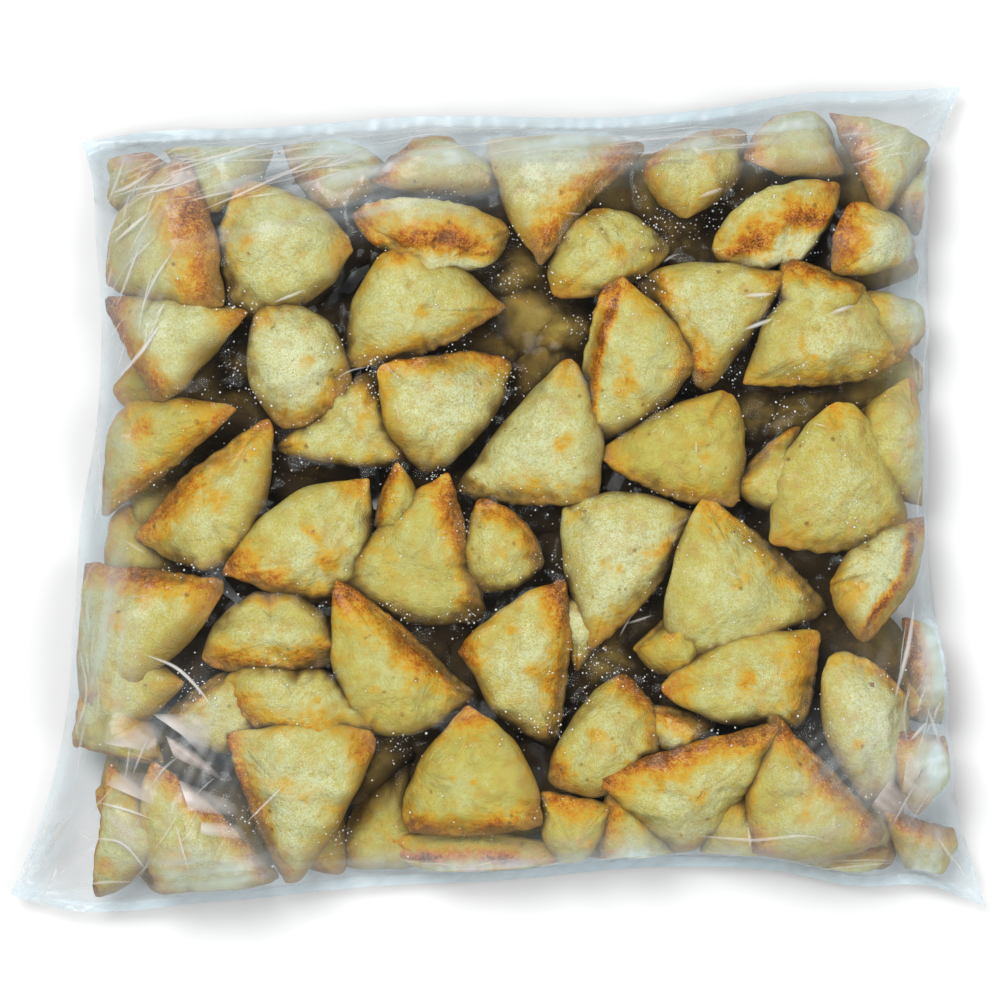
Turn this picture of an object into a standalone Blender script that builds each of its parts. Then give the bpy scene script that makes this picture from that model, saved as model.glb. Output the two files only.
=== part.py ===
"""A clear pillow bag of frozen samosas, lying flat, modelled as one closed solid.

The solid is the bag's outer shape. Thin film seams run all round and end in loose corner ears,
the sides swell up over the contents, and the top is lumpy where each samosa presses into it.
The underside rests flat. Metres, +Z up, origin at the middle of the base.
"""

import math

import bmesh
import bpy
import numpy as np

# Heights, in metres above the surface that the bag lies on
FILL_HEIGHT = 0.051  # the film in a hollow between samosas
LUMP_HEIGHT = 0.010  # how far a samosa stands above the hollows around it
SEAM_HEIGHT = 0.012  # the side folds and end seals
SEAM_WAVE = 0.0025  # the seams ride up and down by this much
SEAM_THICKNESS = 0.002

# How the contents sit inside the film, in metres
MARGIN_LEFT = 0.012  # empty film between the side fold and the contents
MARGIN_RIGHT = 0.004
MARGIN_TOP = 0.006
MARGIN_BOTTOM = 0.008
CORNER_RADIUS = 0.050  # the contents' rounded corners, which leave the film's ears empty
SHOULDER = 0.060  # distance in from the contents' edge to the full height
SHOULDER_POWER = 1.9  # 1 is a straight ramp, 2 a quarter circle

# The samosas under the film: staggered rows of long rounded lumps
LUMP_PITCH = (0.052, 0.047)
LUMP_RADII = (0.034, 0.026)
LUMP_JITTER = 0.007
LUMP_LEAST = 0.45  # the lowest lump, as a share of LUMP_HEIGHT
LUMP_SEED = 11

# The underside, as rings from the seam inwards: share of the half size, share of the seam's height
UNDERSIDE_RINGS = ((0.965, 0.60), (0.925, 0.24), (0.885, 0.07), (0.855, 0.0))
RING_CORNER_POWER = 7.0  # a lower power rounds the rings' corners more

# The grid over the top
COLUMNS = 60
ROWS = 50

# The film's outline, in metres: its four corners, and the points between them on each edge
TOP_LEFT = (-0.1880, 0.1600)
TOP_RIGHT = (0.2095, 0.1855)
BOTTOM_RIGHT = (0.2205, -0.1855)
BOTTOM_LEFT = (-0.2205, -0.1800)
TOP_EDGE = ((-0.1680, 0.1640), (-0.1020, 0.1670), (-0.0370, 0.1720), (0.0600, 0.1720),
            (0.1000, 0.1760), (0.1390, 0.1825), (0.1800, 0.1835))
BOTTOM_EDGE = ((-0.2050, -0.1850), (-0.1240, -0.1830), (-0.0550, -0.1765), (0.0010, -0.1740),
               (0.0780, -0.1675), (0.1240, -0.1690), (0.1650, -0.1765), (0.1930, -0.1760))
LEFT_EDGE = ((-0.2080, -0.1500), (-0.1965, -0.1060), (-0.1915, -0.0540), (-0.1890, -0.0120),
             (-0.1815, 0.0340), (-0.1795, 0.0760), (-0.1825, 0.1200), (-0.1840, 0.1450))
RIGHT_EDGE = ((0.2090, -0.1450), (0.2025, -0.0800), (0.1970, -0.0450), (0.1945, 0.0000),
              (0.1955, 0.0600), (0.1945, 0.1150), (0.1960, 0.1500), (0.2035, 0.1700))

# The look of the film with pastry behind it
FILM_COLOUR = (0.58, 0.55, 0.30, 1.0)
FILM_ROUGHNESS = 0.3


def smooth_edge(start, between, end):
    """Return a function from 0..1 to points on a smooth curve through the given ones."""
    points = np.array([start, *between, end])
    steps = np.linalg.norm(np.diff(points, axis=0), axis=1)
    stations = np.concatenate([[0.0], np.cumsum(steps)]) / steps.sum()
    slopes = np.gradient(points, stations, axis=0)

    def point_at(share):
        """Cubic Hermite interpolation between the two stations on either side of share."""
        i = min(int(np.searchsorted(stations, share, side="right")) - 1, len(steps) - 1)
        width = stations[i + 1] - stations[i]
        t = (share - stations[i]) / width
        return ((2 * t**3 - 3 * t**2 + 1) * points[i]
                + (t**3 - 2 * t**2 + t) * width * slopes[i]
                + (3 * t**2 - 2 * t**3) * points[i + 1]
                + (t**3 - t**2) * width * slopes[i + 1])

    return point_at


EDGE_CURVES = {
    "top": smooth_edge(TOP_LEFT, TOP_EDGE, TOP_RIGHT),
    "bottom": smooth_edge(BOTTOM_LEFT, BOTTOM_EDGE, BOTTOM_RIGHT),
    "left": smooth_edge(BOTTOM_LEFT, LEFT_EDGE, TOP_LEFT),
    "right": smooth_edge(BOTTOM_RIGHT, RIGHT_EDGE, TOP_RIGHT),
}


def plan_point(u, v):
    """The Coons patch between the four edges: u runs left to right, v from bottom to top."""
    corners = ((1 - u) * (1 - v) * np.array(BOTTOM_LEFT) + u * (1 - v) * np.array(BOTTOM_RIGHT)
               + (1 - u) * v * np.array(TOP_LEFT) + u * v * np.array(TOP_RIGHT))
    return ((1 - v) * EDGE_CURVES["bottom"](u) + v * EDGE_CURVES["top"](u)
            + (1 - u) * EDGE_CURVES["left"](v) + u * EDGE_CURVES["right"](v) - corners)


def seam_height(u, v):
    """The height of the seams, which wave gently along the bag's edges."""
    wave = math.sin(9.0 * u + 4.0 * v + 0.6) + 0.6 * math.sin(17.0 * v - 6.0 * u + 1.9)
    return SEAM_HEIGHT + SEAM_WAVE * wave / 1.6


def depth_inside(u, v):
    """The distance from the contents' rounded outline, in metres: negative in the empty film."""
    width = TOP_RIGHT[0] - TOP_LEFT[0]
    depth = TOP_LEFT[1] - BOTTOM_LEFT[1]
    across = min(u * width - MARGIN_LEFT, (1 - u) * width - MARGIN_RIGHT)
    along = min(v * depth - MARGIN_BOTTOM, (1 - v) * depth - MARGIN_TOP)
    gap_across = max(CORNER_RADIUS - across, 0.0)
    gap_along = max(CORNER_RADIUS - along, 0.0)
    return min(across, along, CORNER_RADIUS - math.hypot(gap_across, gap_along))


def shoulder(distance):
    """0 at the contents' edge and 1 from SHOULDER inwards, rounded as a superellipse."""
    share = min(max(distance / SHOULDER, 0.0), 1.0)
    return (1 - (1 - share) ** SHOULDER_POWER) ** (1 / SHOULDER_POWER)


def make_lumps():
    """Return the lumps in staggered rows, each with its centre, heading and height share."""
    random = np.random.default_rng(LUMP_SEED)
    lumps = []
    rows = math.ceil(2 * TOP_RIGHT[1] / LUMP_PITCH[1])
    columns = math.ceil(2 * BOTTOM_RIGHT[0] / LUMP_PITCH[0])
    for row in range(rows):
        for column in range(columns):
            x = (column - columns / 2 + 0.25 + 0.5 * (row % 2)) * LUMP_PITCH[0]
            y = (row - rows / 2 + 0.5) * LUMP_PITCH[1]
            offset = random.uniform(-LUMP_JITTER, LUMP_JITTER, 2)
            heading = random.uniform(0.0, math.pi)
            lumps.append((x + offset[0], y + offset[1], heading, random.uniform(LUMP_LEAST, 1.0)))
    return lumps


def lump_height(x, y, lumps):
    """The highest of the rounded lumps over the point, or 0 between them."""
    highest = 0.0
    for lump_x, lump_y, heading, share in lumps:
        along = (x - lump_x) * math.cos(heading) + (y - lump_y) * math.sin(heading)
        across = (y - lump_y) * math.cos(heading) - (x - lump_x) * math.sin(heading)
        falloff = 1 - (along / LUMP_RADII[0]) ** 2 - (across / LUMP_RADII[1]) ** 2
        highest = max(highest, share * LUMP_HEIGHT * max(falloff, 0.0))
    return highest


def top_point(u, v, lumps):
    """A point of the upper film: the seam's height, the shoulder, and the lumps upon it."""
    x, y = plan_point(u, v)
    rise = shoulder(depth_inside(u, v))
    seam = seam_height(u, v)
    return x, y, seam + (FILL_HEIGHT - seam) * rise + lump_height(x, y, lumps) * rise


def ring_point(u, v, share, height_share):
    """A point of the underside: the rim's own point drawn in to share of the half size."""
    across, along = 2 * u - 1, 2 * v - 1
    corner = (abs(across) ** RING_CORNER_POWER + abs(along) ** RING_CORNER_POWER)
    reach = share / corner ** (1 / RING_CORNER_POWER)
    x, y = plan_point(0.5 + across * reach / 2, 0.5 + along * reach / 2)
    return x, y, seam_height(u, v) * height_share


def make_material():
    """The film's Principled material."""
    material = bpy.data.materials.new("film")
    material.use_nodes = True
    shader = material.node_tree.nodes["Principled BSDF"]
    shader.inputs["Base Color"].default_value = FILM_COLOUR
    shader.inputs["Roughness"].default_value = FILM_ROUGHNESS
    shader.inputs["Metallic"].default_value = 0.0
    return material


def make_bag():
    """Build the bag: the top's grid, the seam's thickness, then rings down to the flat base."""
    mesh = bmesh.new()
    share_layer = mesh.verts.layers.float_vector.new("share")
    lumps = make_lumps()
    bmesh.ops.create_grid(mesh, x_segments=COLUMNS, y_segments=ROWS, size=1.0)
    for vertex in mesh.verts:
        u, v = (vertex.co.x + 1) / 2, (vertex.co.y + 1) / 2
        vertex[share_layer] = (u, v, 0.0)
        vertex.co = top_point(u, v, lumps)

    rim = [edge for edge in mesh.edges if edge.is_boundary]
    for ring in (None, *UNDERSIDE_RINGS):
        made = bmesh.ops.extrude_edge_only(mesh, edges=rim)["geom"]
        rim = [item for item in made if isinstance(item, bmesh.types.BMEdge) and item.is_boundary]
        for vertex in {vertex for edge in rim for vertex in edge.verts}:
            u, v, _ = vertex[share_layer]
            if ring is None:
                vertex.co.z -= SEAM_THICKNESS
            else:
                vertex.co = ring_point(u, v, *ring)
    bmesh.ops.holes_fill(mesh, edges=rim, sides=0)
    bmesh.ops.recalc_face_normals(mesh, faces=mesh.faces)

    lowest = [min(vertex.co[axis] for vertex in mesh.verts) for axis in range(3)]
    highest = [max(vertex.co[axis] for vertex in mesh.verts) for axis in range(3)]
    middle = [(low + high) / 2 for low, high in zip(lowest, highest)]
    bmesh.ops.translate(mesh, verts=mesh.verts, vec=(-middle[0], -middle[1], -lowest[2]))

    data = bpy.data.meshes.new("filled_bag")
    mesh.to_mesh(data)
    mesh.free()
    data.shade_smooth()
    data.materials.append(make_material())
    bag = bpy.data.objects.new("filled_bag", data)
    bpy.context.scene.collection.objects.link(bag)
    return bag


def main():
    """Clear the scene and build the bag."""
    for item in list(bpy.data.objects):
        bpy.data.objects.remove(item, do_unlink=True)
    make_bag()


main()
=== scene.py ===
"""A clear pillow bag of frozen samosas, lying flat on a pale floor.

The bag's film, the pile of samosas in it, the frost and the crumbs between them, and the studio.
Lengths in the tables are millimetres: +X along the bag's width, +Y towards its head, +Z up from the
surface it lies on. Meshes are in metres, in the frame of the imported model.
"""

import logging
import math
from dataclasses import dataclass, field
from enum import Enum
from typing import Union

import bpy
import numpy as np
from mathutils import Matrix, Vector
from numpy.typing import NDArray


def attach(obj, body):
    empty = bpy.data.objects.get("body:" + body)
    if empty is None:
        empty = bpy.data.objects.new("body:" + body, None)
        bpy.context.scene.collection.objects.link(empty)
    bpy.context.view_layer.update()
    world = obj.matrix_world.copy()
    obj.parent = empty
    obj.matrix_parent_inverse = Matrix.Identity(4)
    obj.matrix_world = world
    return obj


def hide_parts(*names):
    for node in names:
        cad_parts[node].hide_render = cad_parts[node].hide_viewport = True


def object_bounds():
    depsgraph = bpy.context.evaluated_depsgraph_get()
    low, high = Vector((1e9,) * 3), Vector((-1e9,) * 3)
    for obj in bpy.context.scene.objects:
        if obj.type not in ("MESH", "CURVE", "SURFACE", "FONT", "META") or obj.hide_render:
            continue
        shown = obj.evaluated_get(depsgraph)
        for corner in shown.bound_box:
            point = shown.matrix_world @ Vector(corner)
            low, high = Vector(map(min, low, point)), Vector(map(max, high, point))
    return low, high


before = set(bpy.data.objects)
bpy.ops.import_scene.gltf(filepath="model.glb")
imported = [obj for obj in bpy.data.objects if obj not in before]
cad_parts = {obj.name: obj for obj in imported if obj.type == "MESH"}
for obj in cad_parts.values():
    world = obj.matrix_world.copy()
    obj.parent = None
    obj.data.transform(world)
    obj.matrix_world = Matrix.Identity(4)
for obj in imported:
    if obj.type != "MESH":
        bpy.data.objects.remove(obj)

Array = NDArray[np.float64]
Colour = tuple[float, float, float]
Point = tuple[float, float]
Tip = tuple[float, float, float]

CAD_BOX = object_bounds()
BAG_NODE = "filled_bag"
BODY = "root"
MM = 0.001
SHARP = math.radians(70)  # edges that turn by more than this are not shaded smooth
LOG = logging.getLogger("samosa_bag")


# ---------------------------------------------------------------- shader nodes


class Value:
    """A number on a socket: an expression on values adds the Math nodes that work it out."""

    def __init__(self, tree: bpy.types.NodeTree, socket: bpy.types.NodeSocket) -> None:
        """Wrap one output socket of a node in the tree."""
        self.tree = tree
        self.socket = socket

    def _maths(self, operation: str, *terms: "Term") -> "Value":
        """Add one Math node.

        Args:
            operation: the node's operation, such as MULTIPLY.
            terms: its numbers or values, in order.

        Returns:
            The node's result.
        """
        node = self.tree.nodes.new("ShaderNodeMath")
        node.operation = operation
        for socket, term in zip(node.inputs, terms):
            if isinstance(term, Value):
                self.tree.links.new(term.socket, socket)
            else:
                socket.default_value = term
        return Value(self.tree, node.outputs[0])

    def __add__(self, other: "Term") -> "Value":
        """Sum."""
        return self._maths("ADD", self, other)

    __radd__ = __add__

    def __sub__(self, other: "Term") -> "Value":
        """Difference."""
        return self._maths("SUBTRACT", self, other)

    def __rsub__(self, other: "Term") -> "Value":
        """Difference the other way round."""
        return self._maths("SUBTRACT", other, self)

    def __mul__(self, other: "Term") -> "Value":
        """Product."""
        return self._maths("MULTIPLY", self, other)

    __rmul__ = __mul__

    def __truediv__(self, other: "Term") -> "Value":
        """Quotient."""
        return self._maths("DIVIDE", self, other)

    def __pow__(self, other: "Term") -> "Value":
        """Power."""
        return self._maths("POWER", self, other)

    def at_most(self, other: "Term") -> "Value":
        """The lower of the two."""
        return self._maths("MINIMUM", self, other)

    def at_least(self, other: "Term") -> "Value":
        """The higher of the two."""
        return self._maths("MAXIMUM", self, other)

    def rising(self, low: float, high: float) -> "Value":
        """A smooth step from 0 at low to 1 at high."""
        node = self.tree.nodes.new("ShaderNodeMapRange")
        node.interpolation_type = "SMOOTHSTEP"
        node.inputs["From Min"].default_value = low
        node.inputs["From Max"].default_value = high
        self.tree.links.new(self.socket, node.inputs["Value"])
        return Value(self.tree, node.outputs["Result"])


Term = Union[Value, float]


class Bench:
    """One material on the bench: it adds nodes and joins them up."""

    def __init__(self, name: str) -> None:
        """Start an empty material with its object coordinates."""
        self.material = bpy.data.materials.new(name)
        self.material.use_nodes = True
        self.tree = self.material.node_tree
        self.tree.nodes.clear()
        self.place = self.add("ShaderNodeTexCoord").outputs["Object"]

    def add(self, kind: str, settings: dict[str, object] | None = None,
            sockets: dict[str | int, object] | None = None) -> bpy.types.Node:
        """Add a node.

        Args:
            kind: the node's type name.
            settings: its own settings, such as an operation.
            sockets: numbers, colours, values or output sockets for its inputs.

        Returns:
            The node.
        """
        node = self.tree.nodes.new(kind)
        for name, setting in (settings or {}).items():
            setattr(node, name, setting)
        for name, value in (sockets or {}).items():
            socket = node.inputs[name]
            if isinstance(value, Value):
                self.tree.links.new(value.socket, socket)
            elif isinstance(value, bpy.types.NodeSocket):
                self.tree.links.new(value, socket)
            elif socket.type == "RGBA":
                socket.default_value = (*value, 1.0)
            else:
                socket.default_value = value
        return node

    def attribute(self, name: str) -> Value:
        """The piece's own attribute of that name."""
        return Value(self.tree, self.add("ShaderNodeAttribute", {"attribute_name": name}).outputs["Fac"])

    def noise(self, scale: float, detail: float = 3.0, where: bpy.types.NodeSocket | None = None,
              distortion: float = 0.0) -> Value:
        """Noise from 0 to 1 with the given features per metre."""
        node = self.add("ShaderNodeTexNoise", {}, {
            "Vector": where or self.place, "Scale": scale, "Detail": detail, "Distortion": distortion})
        return Value(self.tree, node.outputs["Fac"])

    def cells(self, scale: float) -> Value:
        """The distance to the nearest of many scattered points, in units of their spacing."""
        node = self.add("ShaderNodeTexVoronoi", {}, {"Vector": self.place, "Scale": scale})
        return Value(self.tree, node.outputs["Distance"])

    def blend(self, share: Term, first: object, second: object) -> bpy.types.NodeSocket:
        """Mix two colours: share 0 gives the first and 1 the second."""
        node = self.add("ShaderNodeMix", {"data_type": "RGBA"}, {0: share, 6: first, 7: second})
        return node.outputs[2]

    def bump(self, height: Value, strength: float = 1.0) -> bpy.types.NodeSocket:
        """A bump whose height value is in millimetres."""
        node = self.add("ShaderNodeBump", {}, {"Height": height, "Distance": MM, "Strength": strength})
        return node.outputs["Normal"]

    def finish(self, sockets: dict[str | int, object]) -> bpy.types.Material:
        """Close the material with a Principled shader.

        Args:
            sockets: what its inputs take.

        Returns:
            The material.
        """
        shader = self.add("ShaderNodeBsdfPrincipled", {}, sockets)
        self.add("ShaderNodeOutputMaterial", {}, {"Surface": shader.outputs["BSDF"]})
        return self.material


@dataclass(frozen=True)
class CrustFinish:
    """Fried dough: pale and mealy on the faces, amber to brown where it stood proud in the oil, and darkened by
    painted shade where the pile hides the light.
    """

    pale: Colour = (0.505, 0.51, 0.19)
    yellow: Colour = (0.49, 0.44, 0.085)
    frosted: Colour = (0.61, 0.65, 0.39)
    ochre: Colour = (0.47, 0.325, 0.065)
    blush: Colour = (0.50, 0.31, 0.13)
    golden: Colour = (0.60, 0.36, 0.022)
    amber: Colour = (0.56, 0.235, 0.007)
    brown: Colour = (0.38, 0.105, 0.003)
    char: Colour = (0.11, 0.033, 0.004)
    # the next colour is partly browned crust and partly the painted shade inside small pits and cracks
    pit: Colour = (0.16, 0.09, 0.02)
    red: Colour = (0.56, 0.14, 0.02)
    # painted shade: the crust's colour where the pile hides some of the light, and where it hides nearly all
    shadowed: Colour = (0.225, 0.142, 0.033)
    painted_shade: Colour = (0.038, 0.022, 0.007)
    roughness: float = 0.76
    fried_roughness: float = 0.46

    def make(self) -> bpy.types.Material:
        """Build the material.

        Returns:
            The material, which reads the attributes toast, tone, frost and ruddy, and the attribute of painted
            shade.
        """
        bench = Bench("fried_crust")
        toast = bench.attribute("toast")
        tone = bench.attribute("tone")
        frost = bench.attribute("frost")
        ruddy = bench.attribute("ruddy")
        painted_shade = bench.attribute("painted_shade")
        broad = bench.noise(60.0, 1.0)
        patchy = bench.noise(150.0, 2.0)
        mealy = bench.noise(430.0, 2.0)
        grain = bench.noise(1300.0, 1.0)
        spots = bench.cells(105.0)

        yellowing = (broad * 1.2 + tone * 0.5 + patchy * 0.8).rising(0.70, 1.45)
        colour = bench.blend(yellowing, self.pale, self.yellow)
        flour = (mealy * 0.7 + grain * 1.3 + frost * 0.5 - patchy * 0.3).rising(0.85, 1.60)
        colour = bench.blend(flour * (0.25 + 0.85 * frost).at_most(1.0), colour, self.frosted)
        mottle = (patchy * 0.9 + mealy * 0.6 - frost * 0.12 + tone * 0.1).rising(0.68, 1.02)
        colour = bench.blend(mottle * 0.62, colour, self.ochre)
        blush = (broad * 0.7 + patchy * 0.6 + mealy * 0.3).rising(0.84, 1.06) * (0.25 + 0.75 * ruddy)
        colour = bench.blend(blush * 0.7, colour, self.blush)

        uneven = (patchy - 0.5) * 1.7 + (mealy - 0.5) * 1.5 + (grain - 0.5) * 1.5
        heat = toast + uneven * (toast + 0.09)
        colour = bench.blend(heat.rising(0.07, 0.38) * 0.9, colour, self.golden)
        colour = bench.blend(heat.rising(0.30, 0.66), colour, self.amber)
        deep = bench.blend(ruddy, self.brown, self.red)
        colour = bench.blend(heat.rising(0.56, 1.02), colour, deep)
        colour = bench.blend((heat + grain * 0.25).rising(1.12, 1.65) * 0.8, colour, self.char)
        # dark brown spots for small pits and cracks: partly browned crust, partly painted shade, since the
        # surface has no pits in it
        pits = (1.0 - spots.rising(0.05, 0.17)) * (patchy + toast * 0.3).rising(0.51, 0.62)
        colour = bench.blend(pits * 0.75, colour, self.pit)
        crumbly = (1.0 - (grain * 0.75 + mealy * 0.25).rising(0.32, 0.52)) * 0.45
        colour = bench.blend(crumbly, colour, self.ochre)
        # painted shade: where the pile hides the light, the crust is darkened to brown and then near black
        colour = bench.blend(painted_shade.rising(0.0, 0.60) * 0.88, colour, self.shadowed)
        colour = bench.blend(painted_shade.rising(0.40, 1.0), colour, self.painted_shade)

        relief = mealy * 0.95 + grain * 0.42
        rough = self.roughness - (self.roughness - self.fried_roughness) * heat.rising(0.3, 0.9)
        return bench.finish({"Base Color": colour, "Roughness": rough, "Normal": bench.bump(relief),
                             "Specular IOR Level": 0.22})


@dataclass(frozen=True)
class FilmFinish:
    """Clear polythene: it mirrors at a glance, and haze turns it milky; on creases and facets the milkiness is
    painted highlight and painted reflection.
    """

    milky: Colour = (0.80, 0.86, 0.88)
    chilled: Colour = (0.69, 0.88, 0.96)
    # the pink of the facets' painted reflection
    blushed: Colour = (0.92, 0.76, 0.70)
    roughness: float = 0.08
    milky_roughness: float = 0.42
    mirror: float = 0.005
    glancing: float = 0.18

    def make(self) -> bpy.types.Material:
        """Build the material.

        The mirror share is a metal's, as strong as a clear sheet's at each angle, and the rest of
        what is solid is the milky veil.

        Returns:
            The material, which reads the attributes veil, chill and blush.
        """
        bench = Bench("clear_film")
        veil = bench.attribute("veil")
        tint = bench.blend(bench.attribute("chill"), self.milky, self.chilled)
        tint = bench.blend(bench.attribute("blush"), tint, self.blushed)
        weight = bench.add("ShaderNodeLayerWeight", {}, {"Blend": 0.5})
        glance = Value(bench.tree, weight.outputs["Facing"])
        gloss = self.mirror + self.glancing * glance ** 5.0
        solid = gloss + veil * (1.0 - gloss)
        rough = self.roughness + (self.milky_roughness - self.roughness) * veil
        return bench.finish({
            "Base Color": tint, "Roughness": rough,
            "Metallic": gloss / solid.at_least(0.001), "Alpha": solid.at_most(1.0)})


@dataclass(frozen=True)
class IceFinish:
    """Frost crystals: white and a little glossy."""

    colour: Colour = (0.90, 0.93, 0.96)
    bright: Colour = (0.98, 0.98, 0.98)
    roughness: float = 0.28

    def make(self) -> bpy.types.Material:
        """Build the material."""
        bench = Bench("ice_crystal")
        speckle = bench.noise(900.0, 2.0)
        return bench.finish({"Base Color": bench.blend(speckle, self.colour, self.bright),
                             "Roughness": self.roughness, "Normal": bench.bump(speckle * 0.1)})


@dataclass(frozen=True)
class CrumbFinish:
    """Loose flakes of fried crust."""

    light: Colour = (0.55, 0.36, 0.10)
    dark: Colour = (0.26, 0.10, 0.02)
    roughness: float = 0.7

    def make(self) -> bpy.types.Material:
        """Build the material."""
        bench = Bench("crust_crumb")
        mottle = bench.noise(260.0, 3.0)
        return bench.finish({"Base Color": bench.blend(mottle.rising(0.35, 0.65), self.light, self.dark),
                             "Roughness": self.roughness, "Normal": bench.bump(mottle * 0.4)})


@dataclass(frozen=True)
class FloorFinish:
    """A plain pale studio floor."""

    colour: Colour = (0.93, 0.935, 0.94)
    roughness: float = 0.9

    def make(self) -> bpy.types.Material:
        """Build the material."""
        return Bench("pale_floor").finish({"Base Color": self.colour, "Roughness": self.roughness})


# ---------------------------------------------------------------- meshes


@dataclass
class Skin:
    """Points in millimetres, faces by point number, and one number a point for each attribute."""

    points: Array
    quads: NDArray[np.int64]
    triangles: NDArray[np.int64]
    marks: dict[str, Array]

    @staticmethod
    def joined(skins: list["Skin"]) -> "Skin":
        """Join several skins into one.

        Args:
            skins: the skins, which all have the same attributes.

        Returns:
            One skin with all their points and faces.
        """
        starts = np.cumsum([0] + [len(skin.points) for skin in skins])
        return Skin(
            np.concatenate([skin.points for skin in skins]),
            np.concatenate([skin.quads + start for skin, start in zip(skins, starts)]),
            np.concatenate([skin.triangles + start for skin, start in zip(skins, starts)]),
            {name: np.concatenate([skin.marks[name] for skin in skins]) for name in skins[0].marks})

    def piece(self, name: str, material: bpy.types.Material, smooth: bool = True) -> bpy.types.Object:
        """Put the skin into the scene as one object.

        Args:
            name: the piece's name.
            material: its finish.
            smooth: whether its faces are shaded smooth.

        Returns:
            The object, at the origin.
        """
        mesh = bpy.data.meshes.new(name)
        corners = np.concatenate([self.quads.ravel(), self.triangles.ravel()])
        sizes = np.concatenate([np.full(len(self.quads), 4), np.full(len(self.triangles), 3)])
        mesh.vertices.add(len(self.points))
        mesh.vertices.foreach_set("co", (self.points * MM).astype(np.float32).ravel())
        mesh.loops.add(len(corners))
        mesh.loops.foreach_set("vertex_index", corners.astype(np.int32))
        mesh.polygons.add(len(sizes))
        mesh.polygons.foreach_set("loop_start", (np.cumsum(sizes) - sizes).astype(np.int32))
        mesh.update(calc_edges=True)
        mesh.validate()
        for mark, numbers in self.marks.items():
            layer = mesh.attributes.new(mark, "FLOAT", "POINT")
            layer.data.foreach_set("value", numbers.astype(np.float32))
        if smooth:
            mesh.shade_smooth()
            mesh.set_sharp_from_angle(angle=SHARP)
        mesh.materials.append(material)
        piece = bpy.data.objects.new(name, mesh)
        bpy.context.scene.collection.objects.link(piece)
        LOG.info("%s: %d triangles", name, 2 * len(self.quads) + len(self.triangles))
        return piece


NO_QUADS = np.empty((0, 4), dtype=np.int64)
NO_TRIANGLES = np.empty((0, 3), dtype=np.int64)


def sheet_quads(rows: int, columns: int) -> NDArray[np.int64]:
    """Faces of a grid whose rows run along +Y and columns along +X, facing up."""
    corner = (np.arange(rows - 1)[:, None] * columns + np.arange(columns - 1)).ravel()
    return np.stack([corner, corner + 1, corner + columns + 1, corner + columns], axis=1)


def loop_quads(loops: int, around: int) -> NDArray[np.int64]:
    """Faces between closed loops of points, facing out when the loops turn left as they shrink."""
    start = (np.arange(loops - 1) * around)[:, None]
    here = np.arange(around)[None, :]
    after = (here + 1) % around
    quads = [start + here, start + around + here, start + around + after, start + after]
    return np.stack([np.broadcast_to(part, (loops - 1, around)).ravel() for part in quads], axis=1)


def superellipse(share: Array, power: float) -> Array:
    """A rounded rise from 0 at share 0 to 1 at share 1: power 1 is a ramp, 2 a quarter circle."""
    return (1 - (1 - np.clip(share, 0.0, 1.0)) ** power) ** (1 / power)


def smooth_rise(numbers: Array, low: float, high: float) -> Array:
    """A smooth step from 0 at low to 1 at high."""
    share = np.clip((numbers - low) / (high - low), 0.0, 1.0)
    return share * share * (3 - 2 * share)


@dataclass(frozen=True)
class Streaks:
    """Long thin patches that run one way: random numbers on a stretched grid, smoothly joined."""

    across: float = 2.9
    along: float = 26.0
    cells: int = 199

    def over(self, places: Array, heading: float) -> Array:
        """Read the random numbers between the four grid points around each place.

        Args:
            places: points in plan, in millimetres.
            heading: which way the streaks run, in degrees from +X.

        Returns:
            Numbers from 0 to 1.
        """
        numbers = np.random.default_rng(int(heading * 10) + 5000).random((self.cells, self.cells))
        turn = math.radians(heading)
        x, y = places[..., 0], places[..., 1]
        a = (x * math.cos(turn) + y * math.sin(turn)) / self.along + self.cells
        b = (y * math.cos(turn) - x * math.sin(turn)) / self.across + self.cells
        i, j = a.astype(int), b.astype(int)
        s, t = smooth_rise(a - i, 0, 1), smooth_rise(b - j, 0, 1)
        i, j, after_i, after_j = (part % self.cells for part in (i, j, i + 1, j + 1))
        return ((1 - s) * (1 - t) * numbers[i, j] + s * (1 - t) * numbers[after_i, j]
                + (1 - s) * t * numbers[i, after_j] + s * t * numbers[after_i, after_j])


@dataclass(frozen=True)
class Ripples:
    """An uneven field: a sum of sine waves whose headings and phases are drawn at random."""

    height: float
    shortest: float
    longest: float
    waves: int = 9

    def over(self, x: Array, y: Array, random: np.random.Generator) -> Array:
        """Work out the field.

        Args:
            x: places along one direction, in millimetres.
            y: places along the other.
            random: where the waves' headings and phases come from.

        Returns:
            The field at each place, about as high as height.
        """
        length = random.uniform(self.shortest, self.longest, self.waves)
        heading = random.uniform(0.0, 2 * math.pi, self.waves)
        phase = random.uniform(0.0, 2 * math.pi, self.waves)
        turn = 2 * math.pi / length
        angle = x[..., None] * turn * np.cos(heading) + y[..., None] * turn * np.sin(heading) + phase
        return self.height * np.sin(angle).sum(axis=-1) / math.sqrt(self.waves)


# ---------------------------------------------------------------- the bag's outline


@dataclass(frozen=True)
class EdgeCurve:
    """A smooth curve through a few points of the bag's outline."""

    points: tuple[Point, ...]

    def at(self, share: Array) -> Array:
        """Cubic Hermite interpolation, with each point's slope from its two neighbours.

        Args:
            share: places along the curve, from 0 to 1.

        Returns:
            The points there, in plan.
        """
        points = np.array(self.points)
        lengths = np.linalg.norm(np.diff(points, axis=0), axis=1)
        stations = np.concatenate([[0.0], np.cumsum(lengths)]) / lengths.sum()
        slopes = np.gradient(points, stations, axis=0)
        part = np.clip(np.searchsorted(stations, share, side="right") - 1, 0, len(lengths) - 1)
        width = (stations[part + 1] - stations[part])[..., None]
        t = (share - stations[part])[..., None] / width
        return ((2 * t**3 - 3 * t**2 + 1) * points[part] + (t**3 - 2 * t**2 + t) * width * slopes[part]
                + (3 * t**2 - 2 * t**3) * points[part + 1] + (t**3 - t**2) * width * slopes[part + 1])


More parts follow.
